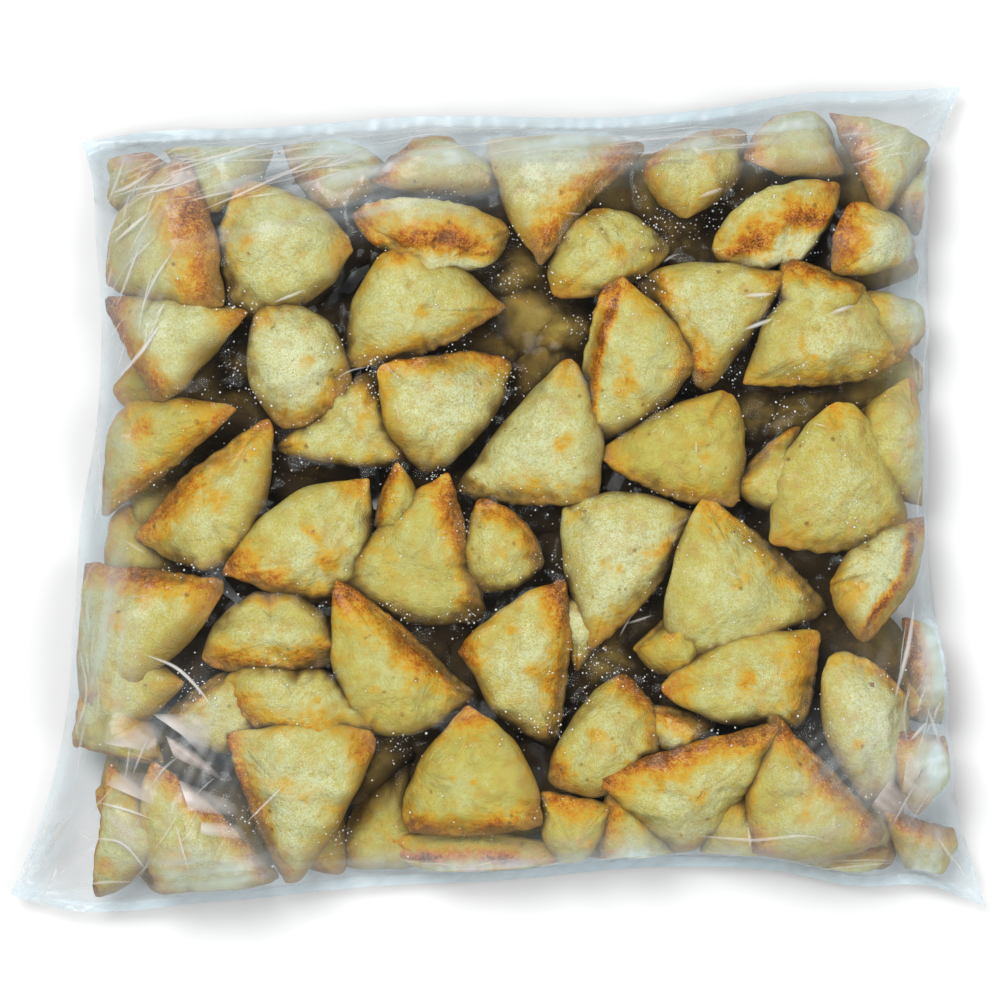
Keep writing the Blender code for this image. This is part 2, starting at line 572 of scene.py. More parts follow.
@dataclass(frozen=True)
class BagOutline:
    """The film's outline as it lies: four wavy edges between four loose corner ears."""

    head: EdgeCurve = EdgeCurve(((-188, 160), (-168, 164), (-102, 167), (-37, 172), (60, 172),
                                 (100, 176), (139, 182.5), (180, 183.5), (209.5, 185.5)))
    foot: EdgeCurve = EdgeCurve(((-220.5, -180), (-205, -185), (-124, -183), (-55, -176.5),
                                 (1, -174), (78, -167.5), (124, -169), (165, -176.5),
                                 (193, -176), (220.5, -185.5)))
    left: EdgeCurve = EdgeCurve(((-220.5, -180), (-208, -150), (-196.5, -106), (-191.5, -54),
                                 (-189, -12), (-181.5, 34), (-179.5, 76), (-182.5, 120),
                                 (-184, 145), (-188, 160)))
    right: EdgeCurve = EdgeCurve(((220.5, -185.5), (209, -145), (202.5, -80), (197, -45),
                                  (194.5, 0), (195.5, 60), (194.5, 115), (196, 150),
                                  (203.5, 170), (209.5, 185.5)))
    width: float = 397.5
    depth: float = 340.0
    margins: tuple[float, float, float, float] = (12.0, 4.0, 6.0, 8.0)  # left, right, head, foot
    corner: float = 50.0
    seam: float = 12.0
    seam_wave: float = 2.5
    side_clearance: float = 3.0
    end_clearance: float = 8.0
    softness: float = 1.4

    def middle(self) -> Array:
        """The middle of the outline's box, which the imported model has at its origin."""
        share = np.linspace(0.0, 1.0, 400)
        edges = np.concatenate([edge.at(share) for edge in (self.head, self.foot, self.left, self.right)])
        low, high = CAD_BOX
        packed = np.array([(low[axis] + high[axis]) / 2 / MM for axis in range(2)])
        return (edges.min(axis=0) + edges.max(axis=0)) / 2 - packed

    def plan(self, u: Array, v: Array) -> Array:
        """The Coons patch between the four edges.

        Each point is the blend of the two side edges, plus the blend of head and foot, less the
        blend of the four corners.

        Args:
            u: share from the left edge to the right one.
            v: share from the foot to the head.

        Returns:
            Places in plan, in millimetres.
        """
        a, b = u[..., None], v[..., None]
        foot, head = np.array(self.foot.points), np.array(self.head.points)
        corners = ((1 - a) * (1 - b) * foot[0] + a * (1 - b) * foot[-1]
                   + (1 - a) * b * head[0] + a * b * head[-1])
        return ((1 - b) * self.foot.at(u) + b * self.head.at(u)
                + (1 - a) * self.left.at(v) + a * self.right.at(v) - corners)

    def seam_height(self, u: Array, v: Array) -> Array:
        """The height of the seams, which wave gently along the bag's edges."""
        wave = np.sin(9.0 * u + 4.0 * v + 0.6) + 0.6 * np.sin(17.0 * v - 6.0 * u + 1.9)
        return self.seam + self.seam_wave * wave / 1.6

    def depth_inside(self, u: Array, v: Array) -> Array:
        """How far inside the contents' rounded outline a place is, in millimetres."""
        left, right, head, foot = self.margins
        across = np.minimum(u * self.width - left, (1 - u) * self.width - right)
        along = np.minimum(v * self.depth - foot, (1 - v) * self.depth - head)
        gap = np.hypot(np.maximum(self.corner - across, 0.0), np.maximum(self.corner - along, 0.0))
        return np.minimum(np.minimum(across, along), self.corner - gap)

    def shares(self, places: Array) -> tuple[Array, Array]:
        """The u and v of places in plan, near enough for heights.

        Args:
            places: points in plan.

        Returns:
            u and v, from three rounds of correcting a first guess.
        """
        u = np.clip(places[..., 0] / self.width + 0.5, 0.0, 1.0)
        v = np.clip(places[..., 1] / self.depth + 0.5, 0.0, 1.0)
        for _ in range(3):
            miss = places - self.plan(u, v)
            u = np.clip(u + miss[..., 0] / self.width, 0.0, 1.0)
            v = np.clip(v + miss[..., 1] / self.depth, 0.0, 1.0)
        return u, v

    def pressed_inside(self, places: Array) -> Array:
        """Move what lies too near the film's edges inwards, as the tight film presses it.

        Each point's distance from an edge is passed through a soft ramp, which never falls below
        the clearance there and leaves distances well above it as they were.

        Args:
            places: points in plan.

        Returns:
            The points, all inside the film.
        """
        u, v = self.shares(places)
        across = np.minimum(u, 1 - u) * self.width
        along = np.minimum(v, 1 - v) * self.depth
        held = []
        for distance, least in ((across, self.side_clearance), (along, self.end_clearance)):
            held.append(least + self.softness * np.log1p(np.exp((distance - least) / self.softness)))
        u = np.where(u < 0.5, held[0] / self.width, 1 - held[0] / self.width)
        v = np.where(v < 0.5, held[1] / self.depth, 1 - held[1] / self.depth)
        near = np.minimum(across - self.side_clearance, along - self.end_clearance) < 8 * self.softness
        return np.where(near[..., None], self.plan(u, v), places)


# ---------------------------------------------------------------- samosas


class Crust(Enum):
    """How a samosa came out of the oil."""

    PALE = "pale"
    GOLDEN = "golden"
    BROWNED = "browned"
    BLOTCHED = "blotched"
    TOASTED = "toasted"
    OILY = "oily"
    RED = "red"
    FROSTED = "frosted"


@dataclass(frozen=True)
class Browning:
    """Shares of full browning along the sealed side, at the tips, on the folds and in patches."""

    seam: float
    tips: float
    folds: float
    patch: float
    tone: float
    frost: float
    ruddy: float


BROWNINGS = {
    Crust.PALE: Browning(0.55, 0.65, 0.12, 0.0, 0.15, 0.72, 0.25),
    Crust.GOLDEN: Browning(0.98, 0.85, 0.28, 0.25, 0.5, 0.5, 0.15),
    Crust.BROWNED: Browning(1.45, 1.15, 0.36, 0.2, 0.3, 0.55, 0.1),
    Crust.BLOTCHED: Browning(0.75, 0.75, 0.35, 0.75, 0.35, 0.45, 0.5),
    Crust.TOASTED: Browning(0.9, 0.85, 0.45, 1.1, 0.4, 0.3, 0.4),
    Crust.OILY: Browning(0.8, 0.7, 0.4, 0.3, 0.8, 0.1, 0.1),
    Crust.RED: Browning(1.3, 1.0, 0.6, 0.9, 0.5, 0.2, 0.9),
    Crust.FROSTED: Browning(1.2, 1.0, 0.10, 0.0, 0.0, 1.0, 0.2),
}


@dataclass(frozen=True)
class Samosa:
    """One samosa: the ends of its sealed side, its folded corner, how thick it is, and its crust.

    Each tip is its place in plan and how much higher it lies than the middle of the samosa.
    """

    start: Tip
    end: Tip
    fold: Tip
    thickness: float
    crust: Crust
    ridge: float = 0.0  # how far the sealed lip lies inside the rim, as a share of the way in
    plump: float = 0.0  # how much further its sides bow outwards, as a share of their lengths

    def tips(self) -> Array:
        """The three tips as rows."""
        return np.array([self.start, self.end, self.fold], dtype=float)


DEEP = (
    Samosa((-8, 109, -2), (44, 90, 0), (8, 58, 0), 24, Crust.OILY),
    Samosa((72, 134, 0), (114, 124, 0), (92, 84, 0), 24, Crust.OILY),
    Samosa((-102, 95, 2), (-58, 90, 0), (-78, 54, 0), 24, Crust.OILY),
    Samosa((12, 62, 2), (56, 62, 2), (34, 102, 0), 24, Crust.OILY),
    Samosa((86, 46, 2), (132, 54, 0), (114, 10, 0), 24, Crust.OILY),
    Samosa((-112, 20, 0), (-66, 14, 0), (-92, -24, 0), 24, Crust.OILY),
    Samosa((148, 50, 2), (193, 54, -4), (166, 14, 0), 24, Crust.GOLDEN),
    Samosa((-152, -106, 0), (-116, -66, 0), (-100, -116, 0), 24, Crust.OILY),
    Samosa((-76, -165, -2), (-46, -109, 2), (-26, -160, 0), 24, Crust.OILY),
    Samosa((20, -90, 0), (70, -58, 0), (70, -106, 0), 24, Crust.OILY),
    Samosa((-4, -14, 0), (44, -22, 0), (24, 22, 0), 24, Crust.OILY),
)

OVER = (
    Samosa((-150, -98, -2), (-110, -70, -2), (-108, -116, -2), 23, Crust.GOLDEN),
    Samosa((98, -122, -2), (134, -154, -4), (92, -166, -4), 22, Crust.OILY),
    Samosa((-190, -110, -6), (-150, -118, -4), (-172, -88, -4), 21, Crust.BROWNED),
    Samosa((62, -66, -2), (92, -38, -2), (84, -80, -2), 24, Crust.OILY),
    Samosa((22, -40, 0), (48, -44, 0), (35, -76, 0), 22, Crust.BROWNED),
    Samosa((66, -92, 2), (96, -98, 0), (82, -130, -2), 22, Crust.BROWNED),
    Samosa((104, 6, 0), (134, 32, 0), (140, -4, -2), 24, Crust.GOLDEN),
    Samosa((182, -96, -2), (202, -101, -6), (193, -58, -2), 22, Crust.OILY),
    Samosa((-150, 159, -4), (-102, 157, -4), (-128, 128, 2), 24, Crust.PALE),
    Samosa((-97, 166, -4), (-81, 130, 0), (-46, 146, -2), 23, Crust.BROWNED),
    Samosa((-56, 142, 0), (-33, 160, -4), (3, 140, 0), 23, Crust.BROWNED),
    Samosa((-171, 162, 2), (-140, 144, 8), (-174, 132, -2), 24, Crust.RED),
    Samosa((172, 139, -2), (189, 120, -4), (198, 152, -6), 22, Crust.BROWNED),
    Samosa((150, 173, -4), (169, 128, 2), (194, 158, -4), 23, Crust.BROWNED),
    Samosa((112, 166, -4), (66, 148, 0), (84, 126, 2), 25, Crust.GOLDEN, 0.0, 0.11),
    Samosa((135, 180, -4), (108, 151, 0), (152, 146, 0), 23, Crust.BROWNED),
    Samosa((66, 157, -4), (18, 106, 2), (-3, 159, -4), 24, Crust.BROWNED),
    Samosa((197, 81, -6), (180, 64, -2), (160, 92, 0), 22, Crust.BROWNED),
    Samosa((158, 131, 0), (150, 101, 0), (188, 112, -6), 24, Crust.FROSTED, 0.0, 0.10),
    Samosa((126, 108, -2), (164, 94, -2), (132, 66, -2), 22, Crust.BROWNED),
    Samosa((25, 90, -2), (78, 112, -2), (42, 128, -2), 25, Crust.BLOTCHED, 0.0, 0.12),
    Samosa((-66, 129, 8), (5, 121, 6), (-18, 102, -9), 30, Crust.FROSTED, 0.40, 0.11),
    Samosa((96, 115, 8), (153, 141, 8), (118, 102, -9), 30, Crust.FROSTED, 0.36, 0.11),
    Samosa((-116, 141, -3), (-120, 81, 0), (-64, 112, 2), 24, Crust.PALE, 0.0, 0.06),
    Samosa((-139, 153, -2), (-121, 90, 3), (-178, 93, -4), 24, Crust.BROWNED),
    Samosa((-176, 90, -4), (-151, 42, -2), (-113, 83, 2), 23, Crust.BROWNED),
    Samosa((-54, 56, -2), (-36, 15, -2), (-98, 22, -2), 24, Crust.BROWNED),
    Samosa((-68, 58, 0), (2, 84, 0), (-45, 113, 0), 24, Crust.GOLDEN),
    Samosa((-52, 59, 0), (6, 62, 0), (-32, 12, 0), 24, Crust.GOLDEN, 0.0, 0.07),
    Samosa((-66, 52, 2), (-96, 32, 2), (-106, 88, 2), 26, Crust.FROSTED, 0.0, 0.15),
    Samosa((184, 54, -4), (190, -2, -4), (161, 27, 0), 24, Crust.BLOTCHED),
    Samosa((185, 63, -4), (110, 51, 2), (140, 101, 2), 24, Crust.PALE),
    Samosa((62, 99, 0), (93, 49, 0), (129, 99, 2), 23, Crust.BROWNED),
    Samosa((51, 100, 5), (35, 24, 4), (86, 57, -2), 23, Crust.BROWNED, 0.22),
    Samosa((45, 19, 0), (105, -2, 0), (102, 48, 0), 24, Crust.GOLDEN, 0.0, 0.05),
    Samosa((-19, 4, 2), (42, -2, 2), (33, 63, 2), 24, Crust.PALE),
    Samosa((123, -20, 0), (182, -12, -2), (149, 44, 2), 24, Crust.PALE, 0.0, 0.05),
    Samosa((-163, -17, -2), (-103, 37, 4), (-117, -30, 0), 23, Crust.GOLDEN),
    Samosa((-116, 41, 4), (-177, -9, -4), (-166, 41, -4), 23, Crust.TOASTED),
    Samosa((-123, -33, 0), (-65, -50, 0), (-60, 11, 0), 24, Crust.BROWNED),
    Samosa((-8, 0, 0), (20, -27, -2), (-10, -40, -2), 25, Crust.BROWNED, 0.0, 0.12),
    Samosa((-54, -11, 0), (-45, 15, 5), (-36, -9, 0), 18, Crust.BROWNED),
    Samosa((-22, 13, 2), (-6, -56, 0), (-74, -36, 0), 23, Crust.BROWNED),
    Samosa((91, -8, 0), (42, -68, 0), (30, -2, 2), 24, Crust.PALE),
    Samosa((193, -8, 0), (164, -63, 6), (149, -38, -4), 24, Crust.BROWNED, 0.26, 0.05),
    Samosa((92, 2, 2), (149, -49, 0), (77, -75, 2), 24, Crust.PALE),
    Samosa((-187, -27, -4), (-121, -40, 2), (-184, -95, -4), 23, Crust.BROWNED),
    Samosa((-182, -70, -4), (-191, -112, -6), (-140, -81, 0), 24, Crust.GOLDEN),
    Samosa((-130, -74, 0), (-67, -70, 0), (-102, -42, -2), 25, Crust.BROWNED, 0.0, 0.08),
    Samosa((-73, -35, 4), (-8, -88, 2), (-59, -105, 0), 24, Crust.BROWNED),
    Samosa((29, -35, 2), (26, -112, 2), (-16, -68, 2), 24, Crust.BROWNED),
    Samosa((143, -61, 2), (135, -100, 0), (72, -84, 0), 24, Crust.BLOTCHED, 0.0, 0.04),
    Samosa((183, -54, -2), (190, -99, -3), (202, -72, -6), 22, Crust.BROWNED),
    Samosa((148, -68, 0), (182, -90, -2), (165, -136, -2), 24, Crust.PALE, 0.0, 0.09),
    Samosa((178, -105, -2), (202, -109, -6), (188, -140, -5), 22, Crust.BROWNED),
    Samosa((20, -132, -2), (49, -137, -2), (32, -168, -4), 24, Crust.OILY),
    Samosa((50, -128, -2), (47, -169, -4), (80, -160, -4), 24, Crust.GOLDEN),
    Samosa((57, -78, 2), (70, -118, 2), (22, -126, 0), 25, Crust.BROWNED, 0.0, 0.10),
    Samosa((114, -158, -4), (174, -157, -4), (156, -178, -6), 22, Crust.GOLDEN),
    Samosa((-50, -154, -3), (34, -157, -4), (-8, -178, -4), 24, Crust.RED, 0.32),
    Samosa((-45, -148, -2), (21, -144, -2), (-12, -92, 2), 25, Crust.BROWNED, 0.0, 0.06),
    Samosa((121, -95, 4), (174, -149, -2), (114, -156, -4), 24, Crust.BROWNED),
    Samosa((45, -124, 0), (123, -99, 2), (86, -160, -4), 24, Crust.BROWNED),
    Samosa((174, -139, -3), (208, -152, -6), (193, -178, -6), 24, Crust.GOLDEN),
    Samosa((-94, -175, -5), (-121, -106, 0), (-53, -107, 2), 23, Crust.BROWNED),
    Samosa((-127, -88, 2), (-54, -108, 3), (-90, -76, 0), 27, Crust.GOLDEN, 0.0, 0.20),
    Samosa((-174, -120, -3), (-182, -181, -6), (-147, -150, -2), 24, Crust.BROWNED),
    Samosa((-154, -118, -1), (-99, -170, -3), (-150, -176, -5), 23, Crust.BROWNED),
)


@dataclass(frozen=True)
class PastryForm:
    """The shape that all samosas share: a plump three-cornered parcel with one sealed side."""

    around: int
    rings: int
    tip_crowding: float = 0.5
    tip_passes: int = 30
    tip_reach: float = 2.6
    fold_bulge: Point = (0.03, 0.15)
    seam_bulge: Point = (-0.01, 0.07)
    ridge_bulge: float = 0.055
    pointed: Point = (0.2, 0.9)  # how much of the bow leaves the tips as pointed as they were
    rim_waves: tuple[Point, ...] = ((3, 0.8), (5, 0.55), (8, 0.4), (13, 0.24), (19, 0.16))
    full_side: float = 68.0  # the length of side whose rim has the full waves
    scallop: float = 0.38
    scallop_length: Point = (6.5, 11.0)
    upper_share: float = 0.56
    fold_width: float = 0.95
    fold_power: float = 1.85
    seam_width: float = 0.95
    seam_power: float = 1.75
    fin: float = 0.15
    fin_width: float = 0.12
    lip: float = 1.3
    lip_inset: float = 0.10
    lip_width: float = 0.065
    lip_beads: float = 0.45
    rim_crowding: float = 1.7
    lumps: Ripples = Ripples(1.4, 13.0, 34.0)
    dimples: Ripples = Ripples(0.42, 4.5, 9.0, 14)
    crimp: float = 0.5
    wrap_step: float = 0.7
    ridge_narrowing: float = 2.3  # how much narrower browning is about a lip inside the rim
    # painted shade: how dark the rim is painted, most on the side that faces this way, away from the key lamp
    rim_shade: float = 0.46
    shaded_side: Point = (0.5, -0.85)

    def rim(self) -> tuple[Array, Array, Array]:
        """Walk once round the three sides, with more points near the tips.

        Returns:
            The side, the share along it, and the weights of the three tips at each point.
        """
        walk = np.arange(self.around) / self.around * 3
        side = walk.astype(int)
        even = walk - side
        share = even - self.tip_crowding * np.sin(2 * math.pi * even) / (2 * math.pi)
        weights = np.zeros((self.around, 3))
        weights[np.arange(self.around), side] = 1 - share
        weights[np.arange(self.around), (side + 1) % 3] = share
        return side, share, weights

    def outline(self, tips: Array, up: Array, samosa: Samosa, random: np.random.Generator) -> Array:
        """The rim in space: straight sides bowed outwards, tips rounded, then waves and scallops.

        Args:
            tips: the three tips as rows.
            up: the samosa's own upward direction.
            samosa: what is being made.
            random: where the bows and waves come from.

        Returns:
            The rim's points.
        """
        middle = tips.mean(axis=0)
        reach = tips - middle
        tips = tips + reach / np.linalg.norm(reach, axis=1)[:, None] * self.tip_reach
        side, share, weights = self.rim()
        along = np.roll(tips, -1, axis=0) - tips
        length = np.linalg.norm(along, axis=1)
        outward = np.cross(along, up) / length[:, None]
        outward *= np.sign(((tips + along / 2 - middle) * outward).sum(axis=1))[:, None]
        bulge = np.array([random.uniform(*self.seam_bulge) + self.ridge_bulge * bool(samosa.ridge),
                          random.uniform(*self.fold_bulge), random.uniform(*self.fold_bulge)])
        bulge += samosa.plump
        pointed = random.uniform(*self.pointed, 3)[side]
        arch = (1 - pointed) * 4 * share * (1 - share) + pointed * np.sin(math.pi * share) ** 2
        bow = (bulge * length)[side] * arch
        points = weights @ tips + outward[side] * bow[:, None]
        for _ in range(int(self.tip_passes * (1 + 12 * samosa.plump))):
            points = (np.roll(points, 1, axis=0) + 2 * points + np.roll(points, -1, axis=0)) / 4
        round_trip = np.arange(self.around) / self.around * 2 * math.pi
        wave = np.zeros(self.around)
        for waves, size in self.rim_waves:
            wave = wave + size * np.sin(waves * round_trip + random.uniform(0, 2 * math.pi))
        turn = 2 * math.pi / random.uniform(*self.scallop_length)
        scallops = np.sin(share * length[0] * turn + 1.4 * np.sin(share * 9.0 + random.uniform(0, 6)))
        wave = wave + (side == 0) * self.scallop * scallops * superellipse(4 * share * (1 - share), 2.0)
        wave = wave * min(length.mean() / self.full_side, 1.0) ** 2
        reach = points - middle
        return points + reach / np.linalg.norm(reach, axis=1)[:, None] * wave[:, None]

    def build(self, samosa: Samosa, tips: Array, random: np.random.Generator) -> Skin:
        """Work out the closed surface.

        A point's place in plan runs from the middle to the rim. Its height is the half thickness
        times one factor for each side, which falls to 0 at that side: round on the two folds, and
        a thin fin on the sealed side. Lumps, dimples, crimps and the step of the wrapped layer
        are added, all fading out at the rim.

        Args:
            samosa: what is being made.
            tips: its three tips in space, about its middle.
            random: where everything uneven comes from.

        Returns:
            The skin, with the attributes that the crust's finish reads.
        """
        browning = BROWNINGS[samosa.crust]
        up = np.cross(tips[1] - tips[0], tips[2] - tips[0])
        turns_right = up[2] < 0
        up = up / np.linalg.norm(up) * (-1 if turns_right else 1)
        rim = self.outline(tips, up, samosa, random)
        weights = self.rim()[2]
        middle = tips.mean(axis=0)

        step = np.abs(np.arange(-self.rings, self.rings + 1)) / self.rings
        reach = (1 - step ** self.rim_crowding)[:, None, None]
        flat = middle + reach * (rim - middle)
        near = 3 * (1 / 3 + reach * (weights - 1 / 3))
        seam, fold_a, fold_b = near[..., 2], near[..., 0], near[..., 1]
        body = (superellipse(fold_a / self.fold_width, self.fold_power)
                * superellipse(fold_b / self.fold_width, self.fold_power)
                * superellipse((seam - self.fin_width) / self.seam_width, self.seam_power))
        fin = (self.fin * superellipse(seam / 0.06, 2.0) * superellipse(fold_a / 0.3, 2.0)
               * superellipse(fold_b / 0.3, 2.0))
        rise = (body ** 3 + fin ** 3) ** (1 / 3)

        first = tips[1] - tips[0]
        first = first / np.linalg.norm(first)
        second = np.cross(up, first)
        x = (flat - middle) @ first
        y = (flat - middle) @ second
        upper = (np.arange(-self.rings, self.rings + 1) < 0)[:, None]
        full = samosa.thickness * np.where(upper, self.upper_share, 1 - self.upper_share)
        lumps = self.lumps.over(x, y, random) + self.dimples.over(x, y, random)
        wrap_at = random.uniform(0.35, 0.9)
        wrap = self.wrap_step * np.clip((near[..., random.integers(0, 2)] - wrap_at) / 0.07, 0, 1)
        height = full * rise + (lumps + np.where(upper, wrap, 0.0)) * np.clip(rise / 0.35, 0, 1)
        to_lip = np.abs(seam - self.lip_inset - samosa.ridge)
        turn = random.uniform(0.7, 1.1)
        beads = 1 + self.lip_beads * np.sin(x * turn + 1.8 * np.sin(x * turn / 2.9)
                                            + random.uniform(0, 2 * math.pi))
        lip = self.lip * beads * np.exp(-(to_lip / self.lip_width) ** 2)
        lip = lip * np.clip(seam / 0.04, 0, 1) * np.clip(fold_a / 0.4, 0, 1) * np.clip(fold_b / 0.4, 0, 1)
        height = height + lip * (upper | (samosa.ridge == 0.0))
        bend = random.uniform(-2.0, 2.0) * (x * x - y * y) / 900.0
        turn = random.uniform(0.45, 0.8)
        crimp = self.crimp * np.exp(-seam / 0.14) * np.sin(
            x * turn + 1.6 * np.sin(x * turn / 2.6) + random.uniform(0, 2 * math.pi))
        side = np.where(upper, 1.0, -1.0)
        grid = flat + up * (side * height + bend + crimp)[..., None]

        sealed = self.ridge_narrowing * to_lip if samosa.ridge else seam
        marks = self.dress(browning, near, sealed, x, y, random)
        # painted shade: darker towards the rim, most on the side away from the key lamp
        outward = (flat - middle)[..., :2]
        outward = outward / np.maximum(np.linalg.norm(outward, axis=-1), 0.001)[..., None]
        facing = np.clip(0.6 + 0.5 * outward @ np.array(self.shaded_side), 0, 1)
        marks["painted_shade"] = self.rim_shade * facing * (1 - smooth_rise(near.min(axis=-1), 0.0, 0.42))
        points = self.without_poles(grid)
        count = len(points)
        quads = loop_quads(2 * self.rings - 1, self.around) + 1
        here = np.arange(self.around)
        after = (here + 1) % self.around
        last = count - 1 - self.around
        triangles = np.concatenate([
            np.stack([np.zeros_like(here), here + 1, after + 1], axis=1),
            np.stack([np.full_like(here, count - 1), last + after, last + here], axis=1)])
        if turns_right:
            quads, triangles = quads[:, ::-1], triangles[:, ::-1]
        return Skin(points, quads, triangles,
                    {name: self.without_poles(mark[..., None])[:, 0] for name, mark in marks.items()})

    @staticmethod
    def without_poles(grid: Array) -> Array:
        """Flatten a grid of loops whose first and last ones are single points."""
        return np.concatenate([grid[0, :1], grid[1:-1].reshape(-1, grid.shape[-1]), grid[-1, :1]])

    @staticmethod
    def dress(browning: Browning, near: Array, sealed: Array, x: Array, y: Array,
              random: np.random.Generator) -> dict[str, Array]:
        """Work out where the crust browned.

        Browning falls off exponentially from the sealed side, from each tip and from the folds,
        each to its own strength, and a patch or two falls off like a bell curve.

        Args:
            browning: how strongly each place browned.
            near: the weights of the three tips, 1 in the middle of the samosa.
            sealed: the distance from the sealed lip, as a share of the way to the middle.
            x: places along the sealed side.
            y: places across it.
            random: where the strengths' spread comes from.

        Returns:
            The attributes toast, tone, frost and ruddy.
        """
        wave = 0.85 + 0.28 * np.sin(x * random.uniform(0.08, 0.2) + random.uniform(0, 2 * math.pi))
        width = random.uniform(0.24, 0.56)
        toast = browning.seam * wave * np.exp(-(sealed / width) ** 1.5)
        for tip in range(3):
            strength = browning.tips * random.uniform(0.35, 1.15)
            toast = np.maximum(toast, strength * np.exp(-((3 - near[..., tip]) / 0.62) ** 2))
        for fold in range(2):
            strength = browning.folds * random.uniform(0.2, 1.6)
            toast = np.maximum(toast, strength * np.exp(-(near[..., fold] / 0.18) ** 1.3))
        angle, far = random.uniform(0, 2 * math.pi), random.uniform(0, 9)
        radius = random.uniform(5, 10)
        away = np.hypot(x - far * math.cos(angle), (y - far * math.sin(angle)) * 1.5) / radius
        toast = np.maximum(toast, browning.patch * random.uniform(0.3, 1.0) * np.exp(-away ** 2))
        for _ in range(3):
            angle, far = random.uniform(0, 2 * math.pi), random.uniform(3, 19)
            radius, strength = random.uniform(2.2, 6.5), random.uniform(0.0, 0.36)
            skew, squash = random.uniform(-0.8, 0.8), random.uniform(0.7, 1.8)
            off_x, off_y = x - far * math.cos(angle), y - far * math.sin(angle)
            away = np.hypot(off_x + skew * off_y, off_y * squash) / radius
            toast = toast + strength * np.exp(-away ** 2)
        tone = browning.tone + random.normal(0.0, 0.3)
        frost = np.clip(browning.frost + random.normal(0.0, 0.2), 0.0, 1.0)
        # yellower towards the rim and more frost in the middle: partly the crust's own colour, partly painted
        # light that leaves each top paler and each rim darker, as a dome lit from above looks
        inner = smooth_rise(near.min(axis=-1), 0.0, 0.8)
        return {"toast": toast, "tone": tone + 0.5 * (1 - inner), "frost": frost * (0.55 + 0.6 * inner),
                "ruddy": np.full_like(x, browning.ruddy)}


# ---------------------------------------------------------------- the pile


@dataclass
class HeightMap:
    """How high and how low the pile reaches at each place in plan."""

    reach: Point = (230.0, 200.0)
    cell: float = 2.0
    floor: float = 0.7
    top: Array = field(init=False)
    under: Array = field(init=False)

    def __post_init__(self) -> None:
        """Start with an empty map."""
        shape = tuple(int(2 * side / self.cell) for side in self.reach)
        self.top = np.full(shape, self.floor)
        self.under = np.full(shape, np.inf)

    def cells(self, points: Array) -> tuple[NDArray[np.int64], NDArray[np.int64]]:
        """The cells that the points are over."""
        place = [((points[..., axis] + self.reach[axis]) / self.cell).astype(int) for axis in (0, 1)]
        return (np.clip(place[0], 0, self.top.shape[0] - 1), np.clip(place[1], 0, self.top.shape[1] - 1))

    def add(self, points: Array) -> None:
        """Take the points into both maps."""
        cells = self.cells(points)
        np.maximum.at(self.top, cells, points[..., 2])
        np.minimum.at(self.under, cells, points[..., 2])

    def read(self, layer: Array, places: Array) -> Array:
        """Read a layer between its cells, as the weighted mean of the four around each place."""
        x = np.clip((places[..., 0] + self.reach[0]) / self.cell - 0.5, 0, layer.shape[0] - 1.001)
        y = np.clip((places[..., 1] + self.reach[1]) / self.cell - 0.5, 0, layer.shape[1] - 1.001)
        i, j = x.astype(int), y.astype(int)
        a, b = x - i, y - j
        return ((1 - a) * (1 - b) * layer[i, j] + a * (1 - b) * layer[i + 1, j]
                + (1 - a) * b * layer[i, j + 1] + a * b * layer[i + 1, j + 1])


